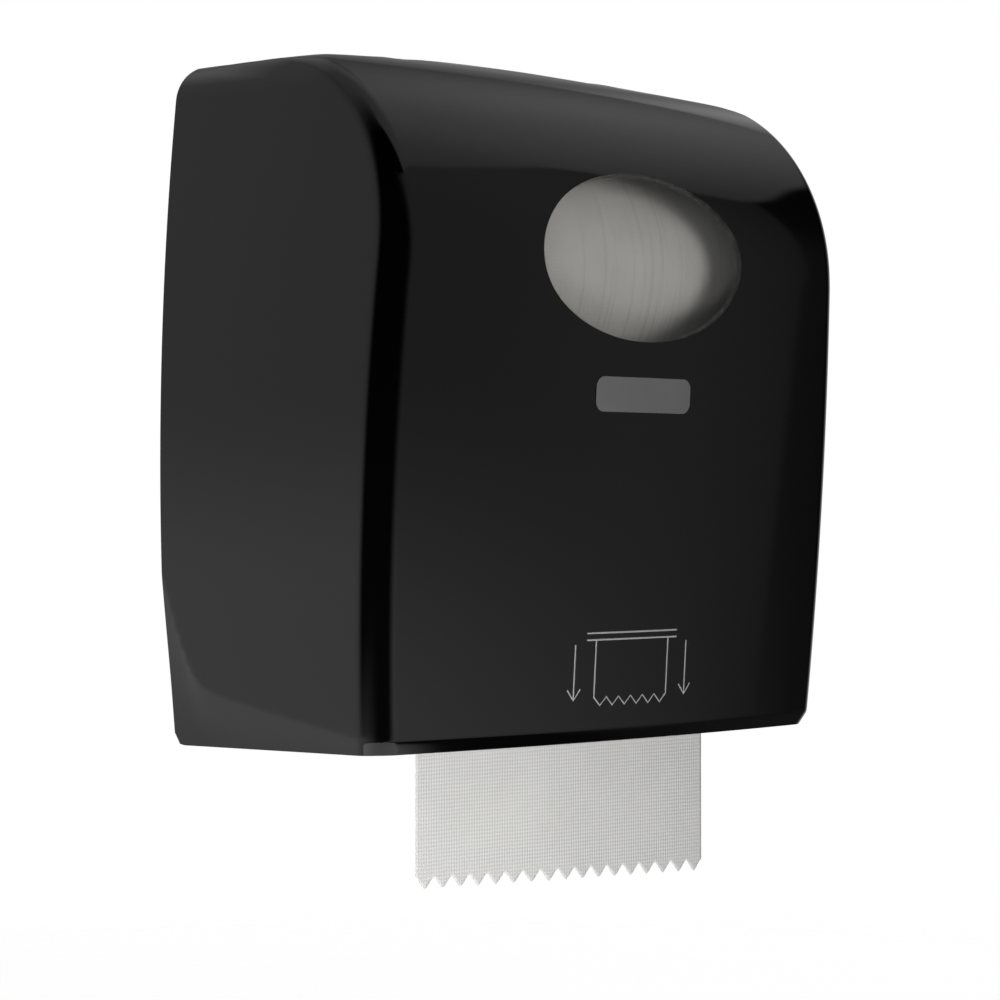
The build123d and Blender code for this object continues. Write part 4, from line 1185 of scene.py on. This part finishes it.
@dataclass(frozen=True)
class Softbox:
    """A rectangular soft light, on all pieces or only on some."""

    name: str
    place: Triple
    aim: Triple
    size: Pair
    glow: float
    spread: float = 180.0
    only: tuple[str, ...] = ()

    def build(self) -> None:
        """Makes the light, which no mirror and no camera shows."""
        light = bpy.data.lights.new(self.name, "AREA")
        light.shape = "RECTANGLE"
        light.size, light.size_y = self.size
        light.energy = self.glow * math.pi * self.size[0] * self.size[1]
        light.spread = math.radians(self.spread)
        lamp = stand(self.name, light)
        lamp.visible_glossy = lamp.visible_camera = False
        point(lamp, self.place, Vector(self.aim) - Vector(self.place))
        if self.only:
            lit = bpy.data.collections.new(f"{self.name}_lit")
            for name in self.only:
                lit.objects.link(bpy.data.objects[name])
            lamp.light_linking.receiver_collection = lit


@dataclass(frozen=True)
class Ramp:
    """A smooth rise between two values, to a size."""

    low: float
    high: float
    size: float = 1.0

    def of(self, wire: Wire) -> Wire:
        """The rise at a wire's value."""
        return wire.step(self.low, self.high) * self.size


@dataclass(frozen=True)
class Room:
    """The room's glow by direction: far along the view, right across it, and up."""

    look: Triple
    near_left: Ramp = Ramp(-0.56, -0.16)
    near_right: Ramp = Ramp(-0.48, -0.38)
    near_turn: Ramp = Ramp(-0.12, 0.04)
    left: Ramp = Ramp(0.0, 1.0)
    left_glow: float = 0.66
    left_top: Ramp = Ramp(-0.08, 0.07, 0.34)
    edge_height: float = 0.656
    edge_fall: Ramp = Ramp(0.07, 0.33, 0.176)
    edge_rise: Ramp = Ramp(0.34, 0.48, 0.035)
    edge_turn: Ramp = Ramp(-0.012, 0.012)
    gap_width: Ramp = Ramp(0.03, 0.42)
    gap_start: Ramp = Ramp(0.25, 0.6)
    gap_end: Ramp = Ramp(0.83, 0.88, 0.8)
    gap_depth: float = 0.6
    sky_glow: float = 0.24
    sky_far: Ramp = Ramp(-0.05, 0.2, 0.1)
    sky_up: Ramp = Ramp(0.42, 0.79)
    sky_least: float = 0.2
    right_glow: float = 0.21
    right_fall: Ramp = Ramp(-0.1, 0.5)
    right_least: float = 0.03
    right_edge: Ramp = Ramp(0.0, 0.3)
    right_near: Ramp = Ramp(-0.85, -0.45)
    end_lean: Pair = (0.14, 0.35)
    end: Ramp = Ramp(0.252, 0.272)
    end_shade: float = 0.48
    end_top: Ramp = Ramp(0.2, 0.4, 0.3)
    foot: Triple = (0.3, 0.85, 0.05)
    foot_edge: Ramp = Ramp(-0.68, -0.58)
    foot_turn: Ramp = Ramp(-0.2, -0.06)
    behind: Ramp = Ramp(0.6, 0.9)
    behind_glow: float = 0.18
    behind_right: Ramp = Ramp(0.1, 0.24, 0.3)
    above_ground: Ramp = Ramp(-0.35, -0.15)
    ground_glow: float = 0.78
    straight_down: Ramp = Ramp(-0.77, -0.74)
    down_glow: float = 1.1
    backdrop: Ramp = Ramp(0.94, 0.97)
    backdrop_top: Ramp = Ramp(0.18, 0.21)

    def sky(self, far: Wire, right: Wire, up: Wire) -> Wire:
        """The ceiling, with a dim gap along the view."""
        gap = (1.0 - self.gap_width.of(right.math("ABSOLUTE"))) * self.gap_start.of(far)
        gap = gap * (1.0 - self.gap_end.of(far)) * self.gap_depth
        height = self.sky_far.of(far) + self.sky_glow
        return (self.sky_up.of(up) * height + self.sky_least) * (1.0 - gap)

    def front(self, far: Wire, right: Wire, up: Wire) -> Wire:
        """The wall that the cover's front mirrors, dim at its end and pale at its foot."""
        above, under = up.math("MAXIMUM", 0.0), up.math("MINIMUM", 0.0)
        end = self.end.of(far - above * self.end_lean[0] - under * self.end_lean[1])
        wall = (1.0 - self.right_fall.of(far)) * self.right_glow + self.right_least
        wall = wall * (1.0 - end * (self.end_top.of(up) + self.end_shade))
        start, fall, least = self.foot
        foot = (start - far * fall).math("MAXIMUM", least) * self.foot_edge.of(up)
        share = self.foot_turn.of(up)
        level = wall * share + foot * (1.0 - share)
        return level * self.right_edge.of(right) * self.right_near.of(far)

    def level(self, far: Wire, right: Wire, up: Wire) -> Wire:
        """The glow that surfaces mirror.

        Args:
            far: how far the direction points along the view.
            right: how far it points across the view.
            up: how far it points up.

        Returns:
            The glow in that direction.
        """
        left = self.left.of(right * -1.0)
        side = left * (1.0 - self.left_top.of(up)) * self.left_glow
        turn = self.near_turn.of(right)
        near = self.near_left.of(far) * (1.0 - turn) + self.near_right.of(far) * turn
        edge = up - (self.edge_height - self.edge_fall.of(far) + self.edge_rise.of(far))
        open_sky = self.edge_turn.of(edge)
        sky = self.sky(far, right, up) * open_sky
        behind = self.behind.of(far) * (self.behind_right.of(right) + self.behind_glow)
        below = 1.0 - self.above_ground.of(up)
        lit = (side * (1.0 - below)).math("MAXIMUM", sky) * near
        lit = lit + (self.front(far, right, up) + behind) * (1.0 - open_sky)
        down = (1.0 - self.straight_down.of(up)) * self.down_glow
        return lit + left * below * self.ground_glow + down

    def build(self) -> None:
        """Makes the room, which is plain white behind the part and to the camera."""
        world = bpy.data.worlds.new("room")
        bpy.context.scene.world = world
        shader = Shader(world)
        way = shader.node("ShaderNodeTexCoord").out("Generated")
        across = (self.look[1], -self.look[0], 0.0)
        axes = (self.look, across, (0.0, 0.0, 1.0))
        far, right, up = (shader.along(way, axis) for axis in axes)
        white = self.backdrop.of(far) * (1.0 - self.backdrop_top.of(up))
        white = white.math("MAXIMUM", shader.node("ShaderNodeLightPath"))
        strength = self.level(far, right, up) * (1.0 - white) + white
        sockets = {"Strength": strength, "Color": (1, 1, 1, 1)}
        shader.feed(shader.tree.nodes["Background"], sockets)


@dataclass
class Studio:
    """Camera, floor, soft light and the room's glow."""

    eye: Triple = (-0.96886, -1.12528, -0.04794)
    look: Triple = (0.67604, 0.73686, 0.0)
    lens: float = 103.82
    sensor: float = 36.0
    clip: Pair = (0.05, 50.0)
    raise_view: float = 0.004
    floor_height: float = -0.45
    floor_radius: float = 1.5
    floor_fade: float = 0.55
    floor_segments: int = 96
    floor_glow: float = 0.7
    lamps: tuple[Softbox, ...] = (
        Softbox("key_light", (1.1, -1.3, 1.0), (0.0, -0.15, 0.0), (1.0, 1.0), 0.55),
        Softbox(
            "window_light",
            (0.24, -0.9, 0.1),
            (0.0, -0.15, 0.068),
            (0.5, 1.0),
            0.58,
            spread=50.0,
            only=("wound_roll",),
        ),
        Softbox("towel_light", (-0.6, -0.6, -0.36), (-0.1, -0.12, -0.22), (0.25, 0.25), 1.98, 44.0),
    )

    def camera(self) -> None:
        """Sets the camera at the photograph's view."""
        data = bpy.data.cameras.new("camera")
        data.lens, data.sensor_width, data.shift_y = self.lens, self.sensor, self.raise_view
        data.clip_start, data.clip_end = self.clip
        camera = stand("camera", data)
        point(camera, self.eye, Vector(self.look))
        bpy.context.scene.camera = camera

    def floor_finish(self) -> bpy.types.Material:
        """Pale and faintly glowing, faded out at the edge and clear from below."""
        material = bpy.data.materials.new("finish_floor")
        shader = Shader(material)
        across, out, _ = shader.parts(shader.place())
        away = (across * across + out * out).math("SQRT")
        fade = 1.0 - away.step(self.floor_radius * self.floor_fade, self.floor_radius)
        under = shader.node("ShaderNodeNewGeometry").out("Backfacing")
        sockets = {
            "Base Color": (0.9, 0.9, 0.9, 1.0),
            "Roughness": 0.7,
            "Emission Color": (1.0, 1.0, 1.0, 1.0),
            "Emission Strength": self.floor_glow,
            "Alpha": fade * (1.0 - under),
        }
        shader.feed(shader.tree.nodes["Principled BSDF"], sockets)
        return material

    def floor(self) -> None:
        """Lays the pale floor."""
        bm = bmesh.new()
        segments, radius = self.floor_segments, self.floor_radius
        bmesh.ops.create_circle(bm, cap_ends=True, segments=segments, radius=radius)
        bmesh.ops.translate(bm, vec=(0, 0, self.floor_height), verts=bm.verts[:])
        mesh = to_mesh(bm, "floor")
        mesh.materials.append(self.floor_finish())
        floor = stand("floor", mesh)
        floor.visible_glossy = False

    def build(self) -> None:
        """Sets up the whole studio."""
        self.camera()
        self.floor()
        Room(self.look).build()
        for lamp in self.lamps:
            lamp.build()
        bpy.context.scene.view_settings.view_transform = "Standard"


def main() -> None:
    """Builds the dispenser's pieces in order and sets up the studio."""
    logging.basicConfig(level=logging.INFO, format="%(message)s")
    Mechanism().dress()
    CoverShell().build()
    WindowLens().build()
    Nameplate().build()
    PullSign().build()
    WoundRoll().build()
    TowelSheet().build()
    Studio().build()


if __name__ == "__main__":
    main()
